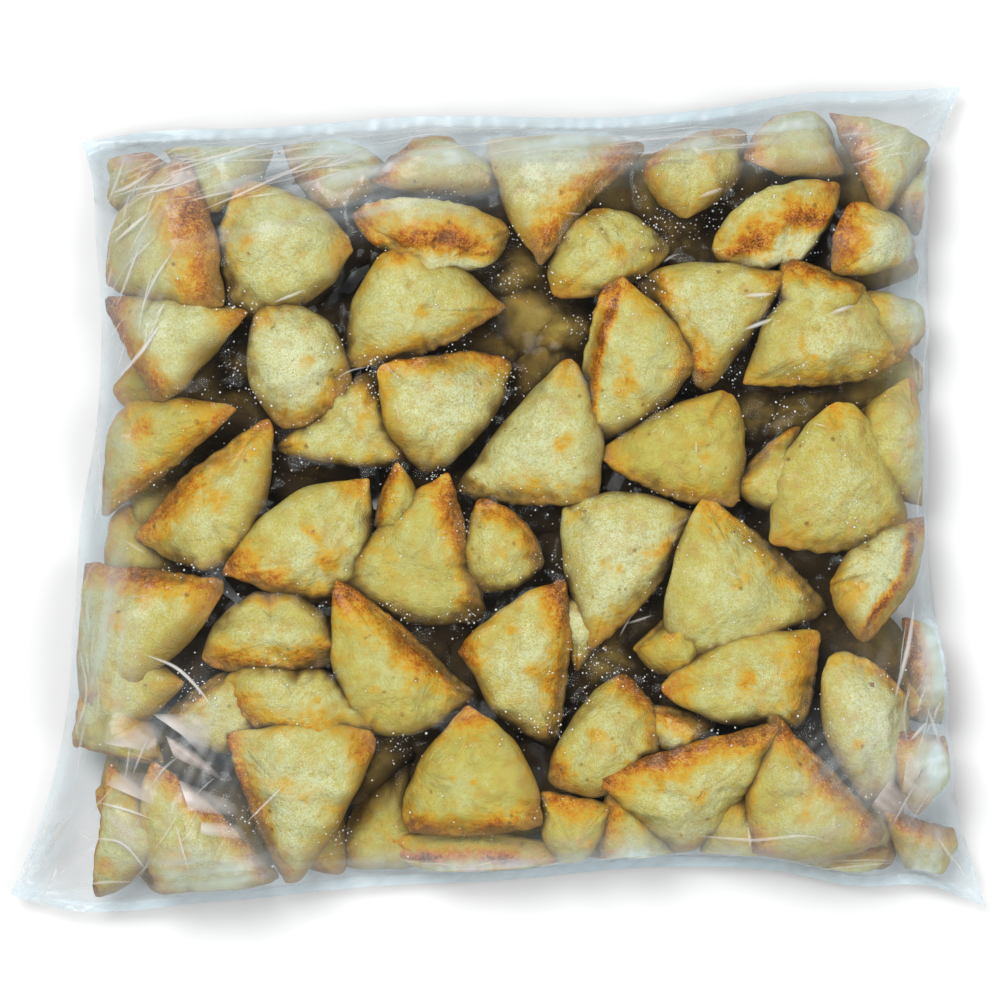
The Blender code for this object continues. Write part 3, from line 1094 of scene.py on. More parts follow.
@dataclass
class Pile:
    """The samosas, laid in the bag from the bottom up."""

    outline: BagOutline
    finish: CrustFinish = CrustFinish()
    fine: PastryForm = PastryForm(120, 15)
    coarse: PastryForm = PastryForm(60, 10)
    crown: float = 52.0
    shoulder: float = 62.0
    shoulder_power: float = 1.9
    follow: float = 0.6  # how much of the bag's own slope the samosas take
    settle: float = 0.62  # how deep under the crown a middle lies, as a share of the thickness
    climb: float = 13.0  # how far one may stand above that
    sink: float = 1.2  # how far two samosas press into each other
    leans: tuple[float, ...] = (-13.0, -6.5, 0.0, 6.5, 13.0)  # degrees
    lean_cost: float = 0.22  # millimetres of height that a degree of lean is worth
    pitch: Point = (50.0, 44.0)
    under_inset: float = 25.0
    bare: float = 9.0  # a mean height under which the floor of the bag still shows
    plug_step: float = 11.0
    under_side: Point = (54.0, 61.0)
    headings: int = 10
    looks: tuple[float, ...] = (2.5, 5.0, 9.0, 15.0)
    # painted shade: spans over which the hidden sky and the depth below the crown darken the crust's colour
    painted_shade_sky: Point = (0.22, 0.98)  # shares of the sky hidden over which the light fails
    painted_shade_depths: Point = (14.0, 36.0)  # and depths below the crown
    crown_share: float = 0.5
    side_light: Point = (4.0, 46.0)  # distances inside the contents' edge over which side light fails
    side_share: float = 0.75
    highest: float = 59.5
    under_top: float = 31.0
    bands: int = 7
    under_bands: int = 3
    seed: int = 5
    map: HeightMap = field(default_factory=HeightMap)
    upper: list[tuple[float, Skin]] = field(default_factory=list)
    lower: list[tuple[float, Skin]] = field(default_factory=list)

    def crown_at(self, places: Array) -> Array:
        """The height of the bag's top over places in plan: a rounded shoulder up to the crown."""
        u, v = self.outline.shares(places)
        rise = superellipse(self.outline.depth_inside(u, v) / self.shoulder, self.shoulder_power)
        return self.outline.seam + (self.crown - self.outline.seam) * rise

    def lay(self, samosa: Samosa, number: int, form: PastryForm, on_floor: bool) -> float:
        """Lower one samosa onto the pile.

        It leans a little to either side, whichever lets its middle come lowest, and stops where
        it presses into what is below by the allowed depth.

        Args:
            samosa: what to lay.
            number: its place in the order, which seeds its unevenness.
            form: how fine its surface is.
            on_floor: whether it belongs to the bottom layer, or keeps near the crown.

        Returns:
            The height of its highest point.
        """
        random = np.random.default_rng(self.seed * 1000 + number)
        tips = samosa.tips()
        middle = tips[:, :2].mean(axis=0)
        if not on_floor:
            tips[:, 2] += self.follow * (self.crown_at(tips[:, :2]) - self.crown_at(middle))
        tips -= tips.mean(axis=0)
        skin = form.build(samosa, tips, random)
        best, cost = skin.points, math.inf
        for about_x in self.leans:
            for about_y in self.leans:
                turned = skin.points @ self.turn(math.radians(about_x), math.radians(about_y)).T
                turned[:, :2] += middle
                lift = (self.map.top[self.map.cells(turned)] - turned[:, 2]).max()
                here = lift + self.lean_cost * (abs(about_x) + abs(about_y))
                if here < cost:
                    best, cost, height = turned, here, lift
        height -= self.sink
        if on_floor:
            height = min(height, self.under_top - best[:, 2].max())
            height = max(height, self.map.floor - best[:, 2].min())
        else:
            rest = float(self.crown_at(middle)) - self.settle * samosa.thickness
            height = min(max(height, rest), rest + self.climb, self.highest - best[:, 2].max())
            height = max(height, self.map.floor - best[:, 2].min())
        best[:, 2] += height
        best[:, :2] = self.outline.pressed_inside(best[:, :2])
        skin.points = best
        self.map.add(self.dense(best, form))
        (self.lower if on_floor else self.upper).append((float(middle[1]), skin))
        return float(best[:, 2].max())

    @staticmethod
    def turn(about_x: float, about_y: float) -> Array:
        """The rotation about +X and then about +Y."""
        cx, sx, cy, sy = math.cos(about_x), math.sin(about_x), math.cos(about_y), math.sin(about_y)
        first = np.array([[1, 0, 0], [0, cx, -sx], [0, sx, cx]])
        second = np.array([[cy, 0, sy], [0, 1, 0], [-sy, 0, cy]])
        return second @ first

    @staticmethod
    def dense(points: Array, form: PastryForm) -> Array:
        """The points and those halfway to their neighbours, so that the map has no holes."""
        loops = points[1:-1].reshape(-1, form.around, 3)
        half = (loops + np.roll(loops, -1, axis=1)) / 2
        both = np.concatenate([loops, half], axis=1)
        between = (both[1:] + both[:-1]) / 2
        return np.concatenate([both.reshape(-1, 3), between.reshape(-1, 3)])

    def lay_under_layer(self) -> None:
        """Fill the bottom of the bag with samosas in staggered rows, turned at random."""
        random = np.random.default_rng(self.seed)
        number = len(DEEP)
        rows = int(self.outline.depth // self.pitch[1]) + 1
        columns = int(self.outline.width // self.pitch[0]) + 1
        for row in range(rows):
            for column in range(columns):
                place = np.array([(column - columns / 2 + 0.25 + 0.5 * (row % 2)) * self.pitch[0],
                                  (row - rows / 2 + 0.5) * self.pitch[1]])
                place += random.uniform(-4.0, 4.0, 2)
                heading = random.uniform(0, 2 * math.pi)
                radius = random.uniform(*self.under_side) / math.sqrt(3)
                lifts = random.uniform(-3.0, 3.0, 3)
                if self.room_for(place, 0) and self.room_for(place, 3):
                    number += 1
                    self.lay_one_below(place, heading, radius, lifts, number)
        for x in np.arange(-self.outline.width / 2, self.outline.width / 2, self.plug_step):
            for y in np.arange(-self.outline.depth / 2, self.outline.depth / 2, self.plug_step):
                heading = random.uniform(0, 2 * math.pi)
                radius = random.uniform(*self.under_side) / math.sqrt(3)
                lifts = random.uniform(-3.0, 3.0, 3)
                if self.room_for(np.array([x, y]), 2):
                    number += 1
                    self.lay_one_below(np.array([x, y]), heading, radius, lifts, number)

    def room_for(self, place: Array, reach: int) -> bool:
        """Whether a place is inside the bag, and the pile low over the cells around it.

        Args:
            place: a point in plan.
            reach: how many cells to each side are looked at.

        Returns:
            True where one more samosa fits.
        """
        u, v = self.outline.shares(place)
        i, j = (int(part) for part in self.map.cells(place))
        around = self.map.top[i - reach:i + reach + 1, j - reach:j + reach + 1]
        return bool(self.outline.depth_inside(u, v) > self.under_inset and around.mean() < self.bare)

    def lay_one_below(self, place: Array, heading: float, radius: float, lifts: Array, number: int) -> None:
        """Lay a three-cornered samosa of the bottom layer about a place."""
        angles = heading + np.arange(3) * 2 * math.pi / 3
        tips = [(place[0] + radius * math.cos(a), place[1] + radius * math.sin(a), lift)
                for a, lift in zip(angles, lifts)]
        self.lay(Samosa(*tips, 24.0, Crust.OILY), number, self.coarse, True)

    def fill(self) -> None:
        """Lay the deep samosas, the rest of the bottom layer, and then the ones on top."""
        for number, samosa in enumerate(DEEP):
            self.lay(samosa, number, self.coarse, True)
        self.lay_under_layer()
        LOG.info("bottom layer: %d samosas", len(self.lower))
        heights = [self.lay(samosa, 500 + number, self.fine, False)
                   for number, samosa in enumerate(OVER)]
        LOG.info("top layer: %d samosas, tops %.1f to %.1f mm", len(heights), min(heights), max(heights))
        self.shade()

    def shade(self) -> None:
        """Work out how little light reaches each point of the pile, and paint that as shade into the crust's
        colour.

        From a point, the steepest slope up to the pile is found along a few headings. The mean
        sine of those slopes is the share of the sky that is hidden. Depth below the crown adds
        to it, and near the bag's edges light comes in from the side.
        """
        angles = np.arange(self.headings) * 2 * math.pi / self.headings
        ahead = np.stack([np.cos(angles), np.sin(angles)], axis=1)
        for _, skin in self.upper + self.lower:
            steepest = np.zeros((self.headings, len(skin.points)))
            for far in self.looks:
                around = skin.points[None, :, :2] + far * ahead[:, None]
                rise = self.map.read(self.map.top, around) - skin.points[:, 2]
                steepest = np.maximum(steepest, rise / far)
            hidden = (steepest / np.sqrt(1 + steepest ** 2)).mean(axis=0)
            depth = self.crown_at(skin.points[:, :2]) + 6.0 - skin.points[:, 2]
            light = ((1 - smooth_rise(hidden, *self.painted_shade_sky))
                     * (1 - self.crown_share * smooth_rise(depth, *self.painted_shade_depths)))
            u, v = self.outline.shares(skin.points[:, :2])
            inside = smooth_rise(self.outline.depth_inside(u, v), *self.side_light)
            light += (1 - light) * self.side_share * (1 - inside)
            # painted shade: the light that fails darkens the crust's colour, on top of the rim's painted shade
            skin.marks["painted_shade"] = 1 - light * (1 - skin.marks["painted_shade"])

    def pieces(self) -> list[bpy.types.Object]:
        """Join the samosas into rows across the bag.

        Returns:
            One piece for each row.
        """
        material = self.finish.make()
        made = []
        for name, layer, bands in (("samosas_top", self.upper, self.bands),
                                   ("samosas_bottom", self.lower, self.under_bands)):
            layer.sort(key=lambda entry: -entry[0])
            for band, members in enumerate(np.array_split(np.arange(len(layer)), bands)):
                skin = Skin.joined([layer[member][1] for member in members])
                piece = skin.piece(f"{name}_row_{band + 1}", material)
                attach(piece, BODY)
                made.append(piece)
        return made


# ---------------------------------------------------------------- the film


@dataclass(frozen=True)
class Veil:
    """A milky patch of film: an ellipse in plan, brightest in the middle."""

    middle: Point
    radii: Point
    heading: float
    strength: float
    streaks: float = 15.0

    def over(self, places: Array) -> Array:
        """A bell curve across the turned ellipse, streaked along its own heading."""
        turn = math.radians(self.heading)
        x, y = places[..., 0] - self.middle[0], places[..., 1] - self.middle[1]
        along = (x * math.cos(turn) + y * math.sin(turn)) / self.radii[0]
        across = (y * math.cos(turn) - x * math.sin(turn)) / self.radii[1]
        streaks = smooth_rise(Streaks().over(places, self.streaks), 0.25, 0.85)
        return self.strength * np.exp(-(along ** 2 + across ** 2)) * (0.55 + 0.9 * streaks)


VEILS = (
    Veil((-90, 150), (85, 15), 2, 0.42, 14), Veil((30, 163), (90, 9), 3, 0.34, 4),
    Veil((-160, 118), (16, 50), 0, 0.26, 62), Veil((-60, 128), (70, 8), 10, 0.18, 12),
    Veil((-150, -130), (36, 36), 0, 0.17, 66), Veil((-177, -32), (15, 78), 0, 0.29, 84),
    Veil((195, -20), (8, 150), 0, 0.24, 88), Veil((187, -120), (20, 46), 10, 0.26, 74),
    Veil((60, -164), (150, 8), 0, 0.26, 3), Veil((165, 162), (40, 15), 0, 0.16, 20),
    Veil((-128, -105), (24, 18), -40, 0.08, -38), Veil((100, -152), (60, 8), 2, 0.16, 2),
    Veil((105, 162), (92, 12), 5, 0.26, 6), Veil((187, 112), (12, 46), 0, 0.32, 84),
    Veil((-130, -167), (50, 11), 3, 0.26, 6), Veil((156, -128), (22, 22), 40, 0.22, 42),
)


@dataclass
class Film:
    """The clear film: one closed skin, with its upper sheet draped over the pile."""

    outline: BagOutline
    pile: Pile
    finish: FilmFinish = FilmFinish()
    columns: int = 304
    rows: int = 256
    clearance: float = 0.6
    seal: float = 6.0
    sag: float = 0.02
    levels: tuple[int, ...] = (8, 4, 2, 1)
    passes: int = 260
    rings: int = 14
    ring_inset: float = 0.17
    fall: float = 34.0
    base: float = 0.25
    edge_veil: float = 0.31
    edge_fade: float = 14.0
    chill_fade: float = 24.0
    clear_veil: float = 0.004
    side_clearing: float = 0.6
    wrinkles: Ripples = Ripples(0.35, 7.0, 16.0, 16)
    seed: int = 21
    places: Array = field(init=False)
    heights: Array = field(init=False)
    skin: Skin = field(init=False)

    def grid(self) -> tuple[Array, Array]:
        """The shares of the sheet's nodes, rows from the foot to the head."""
        return np.meshgrid(np.linspace(0, 1, self.columns + 1), np.linspace(0, 1, self.rows + 1))

    def lower_height(self, u: Array, v: Array) -> Array:
        """The lower sheet: flat in the end seals, then a parabola down to the floor."""
        along = np.minimum(v, 1 - v) * self.outline.depth - self.seal
        across = np.minimum(u, 1 - u) * self.outline.width
        share = np.clip(np.minimum(along, across) / self.fall, 0, 1)
        return self.base + (self.outline.seam_height(u, v) - self.base) * (1 - share) ** 2

    def drape(self, ground: Array, held: Array, start: Array) -> Array:
        """Pull a sheet tight over what is below it.

        Each free node moves to the mean of its four neighbours less the sag, but not below the
        ground. This is done on coarse grids first and then on finer ones.

        Args:
            ground: the lowest that each node may go.
            held: which nodes stay at their start height.
            start: the starting heights.

        Returns:
            The heights.
        """
        heights = start[::self.levels[0], ::self.levels[0]]
        for level in self.levels:
            if level != self.levels[0]:
                finer = np.empty_like(start[::level, ::level])
                finer[::2, ::2] = heights
                finer[1::2, ::2] = (heights[1:] + heights[:-1]) / 2
                finer[:, 1::2] = (finer[:, 2::2] + finer[:, :-2:2]) / 2
                heights = finer
            low, fixed, kept = (part[::level, ::level] for part in (ground, held, start))
            for _ in range(self.passes):
                mean = (heights[:-2, 1:-1] + heights[2:, 1:-1] + heights[1:-1, :-2]
                        + heights[1:-1, 2:]) / 4 - self.sag * level * level
                heights = kept.copy()
                heights[1:-1, 1:-1] = np.where(fixed[1:-1, 1:-1], kept[1:-1, 1:-1],
                                               np.maximum(mean, low[1:-1, 1:-1]))
        return heights

    def build(self) -> bpy.types.Object:
        """Drape the upper sheet, carry its edge down and under, and close it.

        Returns:
            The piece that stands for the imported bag.
        """
        random = np.random.default_rng(self.seed)
        u, v = self.grid()
        places = self.outline.plan(u, v)
        places -= self.outline.middle()
        seam = self.outline.seam_height(u, v)
        top = self.spread(self.pile.map.top)
        ground = np.maximum(self.pile.map.read(top, places) + self.clearance,
                            self.lower_height(u, v) + 0.8)
        to_end = np.minimum(v, 1 - v) * self.outline.depth
        to_side = np.minimum(u, 1 - u) * self.outline.width
        held = (to_end < self.seal) | (to_side < 1.0)
        ground = np.where(held, -np.inf, ground)
        heights = self.drape(ground, held, seam)
        loose = np.clip((heights - ground) / 2.0, 0.0, 1.0) * np.clip(np.minimum(to_end, to_side) / 12, 0, 1)
        heights = heights + loose * self.wrinkles.over(places[..., 0], places[..., 1], random)
        heights = heights + self.gathers(places, to_end, to_side)
        self.places, self.heights = places, heights

        rim = self.rim_walk()
        rim_u, rim_v = u[rim], v[rim]
        shrink = 1 - self.ring_inset * (np.arange(1, self.rings + 1) / self.rings)
        across, along = 2 * rim_u - 1, 2 * rim_v - 1
        square = (np.abs(across) ** 9 + np.abs(along) ** 9) ** (1 / 9)
        reach = shrink[:, None] / square
        ring_u, ring_v = 0.5 + across * reach / 2, 0.5 + along * reach / 2
        ring_places = self.outline.plan(ring_u, ring_v) - self.outline.middle()
        under = np.where(np.isinf(self.pile.map.under), 1e3, self.pile.map.under)
        under = -self.spread(-under)
        ring_heights = np.minimum(self.lower_height(ring_u, ring_v) - 0.3,
                                  self.pile.map.read(under, ring_places) - 0.5)
        ring_heights = np.maximum(ring_heights, self.base - 0.15)
        ring_heights[-1] = self.base - 0.15

        sheet = np.concatenate([places, heights[..., None]], axis=-1).reshape(-1, 3)
        rings = np.concatenate([ring_places, ring_heights[..., None]], axis=-1).reshape(-1, 3)
        centre = np.array([[0.0, 0.0, self.base - 0.15]])
        points = np.concatenate([sheet, rings, centre])
        rim_numbers = rim[0] * (self.columns + 1) + rim[1]
        quads, triangles = self.faces(rim_numbers, len(sheet))
        veil, chill = self.milkiness(np.concatenate([sheet[:, :2], rings[:, :2], centre[:, :2]]),
                                     np.concatenate([u.ravel(), ring_u.ravel(), [0.5]]),
                                     np.concatenate([v.ravel(), ring_v.ravel(), [0.5]]))
        slope = np.hypot(*np.gradient(heights)) / (self.outline.width / self.columns)
        veil[:len(sheet)] /= 1 + self.side_clearing * slope.ravel()
        veil[len(sheet):] *= 0.5
        self.skin = Skin(points, quads, triangles,
                         {"veil": veil, "chill": chill, "blush": np.zeros_like(veil)})
        piece = self.skin.piece("bag_film", self.finish.make())
        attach(piece, BODY)
        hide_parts(BAG_NODE)
        return piece

    def spread(self, layer: Array) -> Array:
        """Widen the peaks of a height map by one cell, so that slopes stay under the film."""
        wide = layer.copy()
        wide[1:] = np.maximum(wide[1:], layer[:-1])
        wide[:-1] = np.maximum(wide[:-1], layer[1:])
        wider = wide.copy()
        wider[:, 1:] = np.maximum(wider[:, 1:], wide[:, :-1])
        wider[:, :-1] = np.maximum(wider[:, :-1], wide[:, 1:])
        return wider

    def gathers(self, places: Array, to_end: Array, to_side: Array) -> Array:
        """Folds that fan out from each corner ear, and small puckers square to the end seals."""
        total = np.zeros_like(to_end)
        for row, column, folds, phase in ((0, 0, 15, 0.3), (0, -1, 11, 1.7), (-1, 0, 9, 2.9), (-1, -1, 12, 0.9)):
            away = places - places[row, column]
            far = np.hypot(away[..., 0], away[..., 1])
            angle = np.arctan2(away[..., 1], away[..., 0])
            fade = np.exp(-((far - 24) / 22) ** 2) * np.clip(far / 12, 0, 1)
            total += 1.5 * fade * (1 - np.abs(np.sin(folds * angle + phase)) * 1.6)
        x = places[..., 0]
        pucker = np.sin(x * 0.55 + 1.3 * np.sin(x * 0.11)) + 0.7 * np.sin(x * 0.93 + 2.0)
        total += 0.24 * pucker * np.exp(-((to_end - 11) / 7) ** 2)
        y = places[..., 1]
        fold = np.sin(y * 0.42 + 1.1 * np.sin(y * 0.07)) + 0.6 * np.sin(y * 0.8)
        return total + 0.22 * fold * np.exp(-((to_side - 9) / 6) ** 2)

    def milkiness(self, places: Array, u: Array, v: Array) -> tuple[Array, Array]:
        """Work out how milky and how cold the film looks.

        Args:
            places: points in plan.
            u: their shares across the bag.
            v: their shares along it.

        Returns:
            The attributes veil and chill.
        """
        to_end = np.minimum(v, 1 - v) * self.outline.depth
        inward = np.minimum(np.minimum(u, 1 - u) * self.outline.width, to_end)
        rough = 0.6 + 0.8 * Streaks(3.4, 12.0).over(places, 40.0)
        veil = self.clear_veil + self.edge_veil * rough * np.exp(-(inward / self.edge_fade) ** 2)
        veil = veil + 0.06 * (to_end < self.seal)
        for patch in VEILS:
            veil = veil + patch.over(places)
        return np.clip(veil, 0, 0.9), np.exp(-(inward / self.chill_fade) ** 2)

    def rim_walk(self) -> tuple[NDArray[np.int64], NDArray[np.int64]]:
        """The sheet's border nodes, anticlockwise from the foot's left corner."""
        across, up = np.arange(self.columns), np.arange(self.rows)
        rows = np.concatenate([np.zeros_like(across), up, np.full_like(across, self.rows), self.rows - up])
        columns = np.concatenate([across, np.full_like(up, self.columns), self.columns - across,
                                  np.zeros_like(up)])
        return rows, columns

    def faces(self, rim: NDArray[np.int64], sheet: int) -> tuple[NDArray[np.int64], NDArray[np.int64]]:
        """The faces of the sheet, of the rings under its edge, and of the flat base.

        Args:
            rim: the numbers of the sheet's border nodes.
            sheet: how many nodes the sheet has.

        Returns:
            Quads and triangles.
        """
        around = len(rim)
        here = np.arange(around)
        after = (here + 1) % around
        edge = np.stack([rim[here], sheet + here, sheet + after, rim[after]], axis=1)
        rings = loop_quads(self.rings, around) + sheet
        last = sheet + (self.rings - 1) * around
        centre = np.full(around, last + around)
        fan = np.stack([centre, last + after, last + here], axis=1)
        upper = sheet_quads(self.rows + 1, self.columns + 1)
        return np.concatenate([upper, edge, rings]), fan

    def height_at(self, places: Array) -> Array:
        """The upper sheet's height at places in plan, between the four nodes around each."""
        u, v = self.outline.shares(places + self.outline.middle())
        a, b = v * self.rows, u * self.columns
        i = np.minimum(a.astype(int), self.rows - 1)
        j = np.minimum(b.astype(int), self.columns - 1)
        s, t = a - i, b - j
        return ((1 - s) * (1 - t) * self.heights[i, j] + s * (1 - t) * self.heights[i + 1, j]
                + (1 - s) * t * self.heights[i, j + 1] + s * t * self.heights[i + 1, j + 1])


@dataclass(frozen=True)
class Crease:
    """A sharp fold in the film: its path in plan, how wide it is, and how white the painted highlight along its
    crest is.
    """

    path: tuple[Point, ...]
    width: float
    white: float
    blush: float = 0.0


@dataclass(frozen=True)
class Facet:
    """A flat patch of slack film between creases: its four corners, and how white its painted reflection of a
    soft box looks.
    """

    corners: tuple[Point, Point, Point, Point]
    white: float
    blush: float = 0.0


# Each crease is a real fold of the film; its white is a painted highlight along the crest.
CREASES = (
    Crease(((-154, 128), (-163, 121), (-172, 114)), 2.2, 0.8),
    Crease(((-158, 115), (-166, 96), (-171, 85)), 1.6, 0.6),
    Crease(((-150, 78), (-157, 67), (-171, 54)), 2.4, 0.85),
    Crease(((-174, 137), (-164, 140), (-154, 146)), 2.6, 0.8),
    Crease(((-163, 126), (-175, 117)), 1.4, 0.6),
    Crease(((-148, 87), (-152, 81)), 1.6, 0.6),
    Crease(((-145, 148), (-120, 154), (-98, 162)), 1.8, 0.6),
    Crease(((-132, 128), (-116, 135), (-71, 157)), 1.8, 0.6),
    Crease(((-127, 150), (-90, 152), (-55, 153)), 1.5, 0.5),
    Crease(((-110, 141), (-84, 147), (-60, 149)), 1.3, 0.45),
    Crease(((-100, 87), (-85, 93)), 1.8, 0.5),
    Crease(((-157, -69), (-143, -75), (-132, -86), (-127, -93)), 2.0, 0.85),
    Crease(((-112, -144), (-103, -135), (-94, -126)), 1.4, 0.6),
    Crease(((-143, -144), (-137, -166)), 1.4, 0.6),
    Crease(((-180, -151), (-168, -153), (-157, -165)), 1.8, 0.7),
    Crease(((-179, -135), (-166, -138), (-154, -142)), 1.8, 0.7),
    Crease(((-190, -149), (-181, -153)), 1.6, 0.6),
    Crease(((-216, -176), (-208, -156), (-197, -131)), 2.4, 0.55),
    Crease(((-211, -172), (-203, -158), (-193, -144)), 2.0, 0.55),
    Crease(((-206, -180), (-200, -168), (-197, -158)), 1.8, 0.5),
    Crease(((-212, -160), (-216, -176)), 1.6, 0.5),
    Crease(((-200, -178), (-180, -172), (-160, -171)), 1.6, 0.5),
    Crease(((186, -45), (183, -66), (176, -90)), 2.6, 0.7),
    Crease(((183, -108), (192, -99)), 2.2, 0.7),
    Crease(((192, -93), (195, -102), (197, -111)), 2.2, 0.6),
    Crease(((86, -150), (112, -152), (140, -150), (149, -153)), 1.8, 0.5),
    Crease(((46, -167), (60, -161), (73, -159)), 1.6, 0.5),
    Crease(((111, -144), (113, -158)), 1.4, 0.5),
    Crease(((204, -160), (212, -172)), 1.6, 0.5),
    Crease(((196, -150), (207, -166)), 1.6, 0.4),
    Crease(((198, 160), (206, 178)), 1.6, 0.5),
    Crease(((186, 168), (202, 180)), 1.4, 0.4),
    Crease(((109, 90), (122, 91)), 2.6, 0.6),
    Crease(((109, 75), (122, 80)), 2.4, 0.6),
    Crease(((147, 82), (158, 86)), 2.4, 0.6),
    Crease(((89, 134), (100, 138)), 2.4, 0.4),
    Crease(((-184, 40), (-178, 8), (-184, -20)), 1.6, 0.4),
    Crease(((-188, -60), (-184, -90), (-192, -110)), 1.6, 0.4),
    Crease(((190, 100), (192, 70), (190, 40)), 1.5, 0.35),
    Crease(((-60, 163), (-20, 167), (30, 166)), 1.3, 0.4),
    Crease(((60, 166), (90, 170)), 1.3, 0.4),
)

# Each facet lies on the film; its white and blush paint the reflection of a soft box on slack film.
FACETS = (
    Facet(((-154, -95.5), (-126, -95), (-129, -117), (-141, -105)), 0.70, 0.15),
    Facet(((-176, -108.5), (-154.5, -97), (-147, -108), (-158, -112)), 0.52, 0.5),
    Facet(((-148, -105), (-135, -112), (-119, -127), (-144, -115)), 0.58, 0.75),
    Facet(((-176, -127), (-170, -121), (-154, -121.5), (-152.5, -136)), 0.52, 0.4),
    Facet(((-142, -124.5), (-116, -135), (-115, -141.5), (-137, -138.5)), 0.48, 0.1),
    Facet(((-131.5, -143), (-114, -145), (-110, -153), (-132, -149)), 0.45, 0.2),
    Facet(((-174, -137), (-153, -142.5), (-154, -164), (-172.5, -151.5)), 0.26, 0.5),
    Facet(((166, -137), (172, -145), (189, -139), (175, -124)), 0.45, 0.7),
    Facet(((180, -131), (196, -140), (192, -120), (182, -112)), 0.30, 0.3),
)


@dataclass(frozen=True)
class Fan:
    """Many hairline creases in one patch of film, all running nearly the same way."""

    middle: Point
    radii: Point
    heading: float
    spread: float
    count: int
    lengths: Point
    white: float
    widths: Point = (0.6, 1.8)
    inset: float = 2.5

    def creases(self, outline: BagOutline, random: np.random.Generator) -> list[Crease]:
        """Draw the creases.

        Args:
            outline: the film's outline, which they have to stay inside.
            random: where their places, headings, lengths and bows come from.

        Returns:
            The creases, each through three points.
        """
        made = []
        for _ in range(self.count):
            angle, far = random.uniform(0, 2 * math.pi), math.sqrt(random.uniform(0, 1))
            middle = np.array(self.middle) + far * np.array(self.radii) * (math.cos(angle), math.sin(angle))
            turn = math.radians(self.heading + random.normal(0, self.spread))
            ahead = np.array([math.cos(turn), math.sin(turn)])
            half = random.uniform(*self.lengths) / 2
            bow = np.array([-ahead[1], ahead[0]]) * random.normal(0, 0.07) * half
            path = np.array([middle - ahead * half, middle + bow, middle + ahead * half])
            width, white = random.uniform(*self.widths), self.white * random.uniform(0.4, 1.2)
            u, v = outline.shares(path)
            inward = np.minimum(np.minimum(u, 1 - u) * outline.width, np.minimum(v, 1 - v) * outline.depth)
            if inward.min() > self.inset:
                made.append(Crease(tuple(map(tuple, path)), width, white))
        return made


# Each fan's white is a painted highlight along its hairline creases.
FANS = (
    Fan((-120, 146), (58, 14), 16, 7, 34, (12, 46), 0.50),
    Fan((10, 160), (120, 7), 4, 4, 24, (14, 50), 0.42),
    Fan((-164, 100), (14, 52), 64, 9, 26, (10, 36), 0.50),
    Fan((-152, -138), (34, 34), 68, 24, 12, (8, 24), 0.36),
    Fan((-203, -160), (10, 18), 60, 12, 14, (8, 26), 0.45),
    Fan((-184, -60), (6, 60), 86, 7, 12, (10, 34), 0.36),
    Fan((188, -104), (12, 48), 72, 14, 20, (8, 30), 0.46),
    Fan((60, -163), (120, 6), 2, 7, 16, (10, 34), 0.38),
    Fan((176, 160), (22, 12), 24, 20, 10, (8, 24), 0.36),
    Fan((191, 60), (4, 80), 89, 6, 12, (10, 34), 0.34),
    Fan((0, 0), (170, 130), 35, 60, 16, (6, 18), 0.34),
)


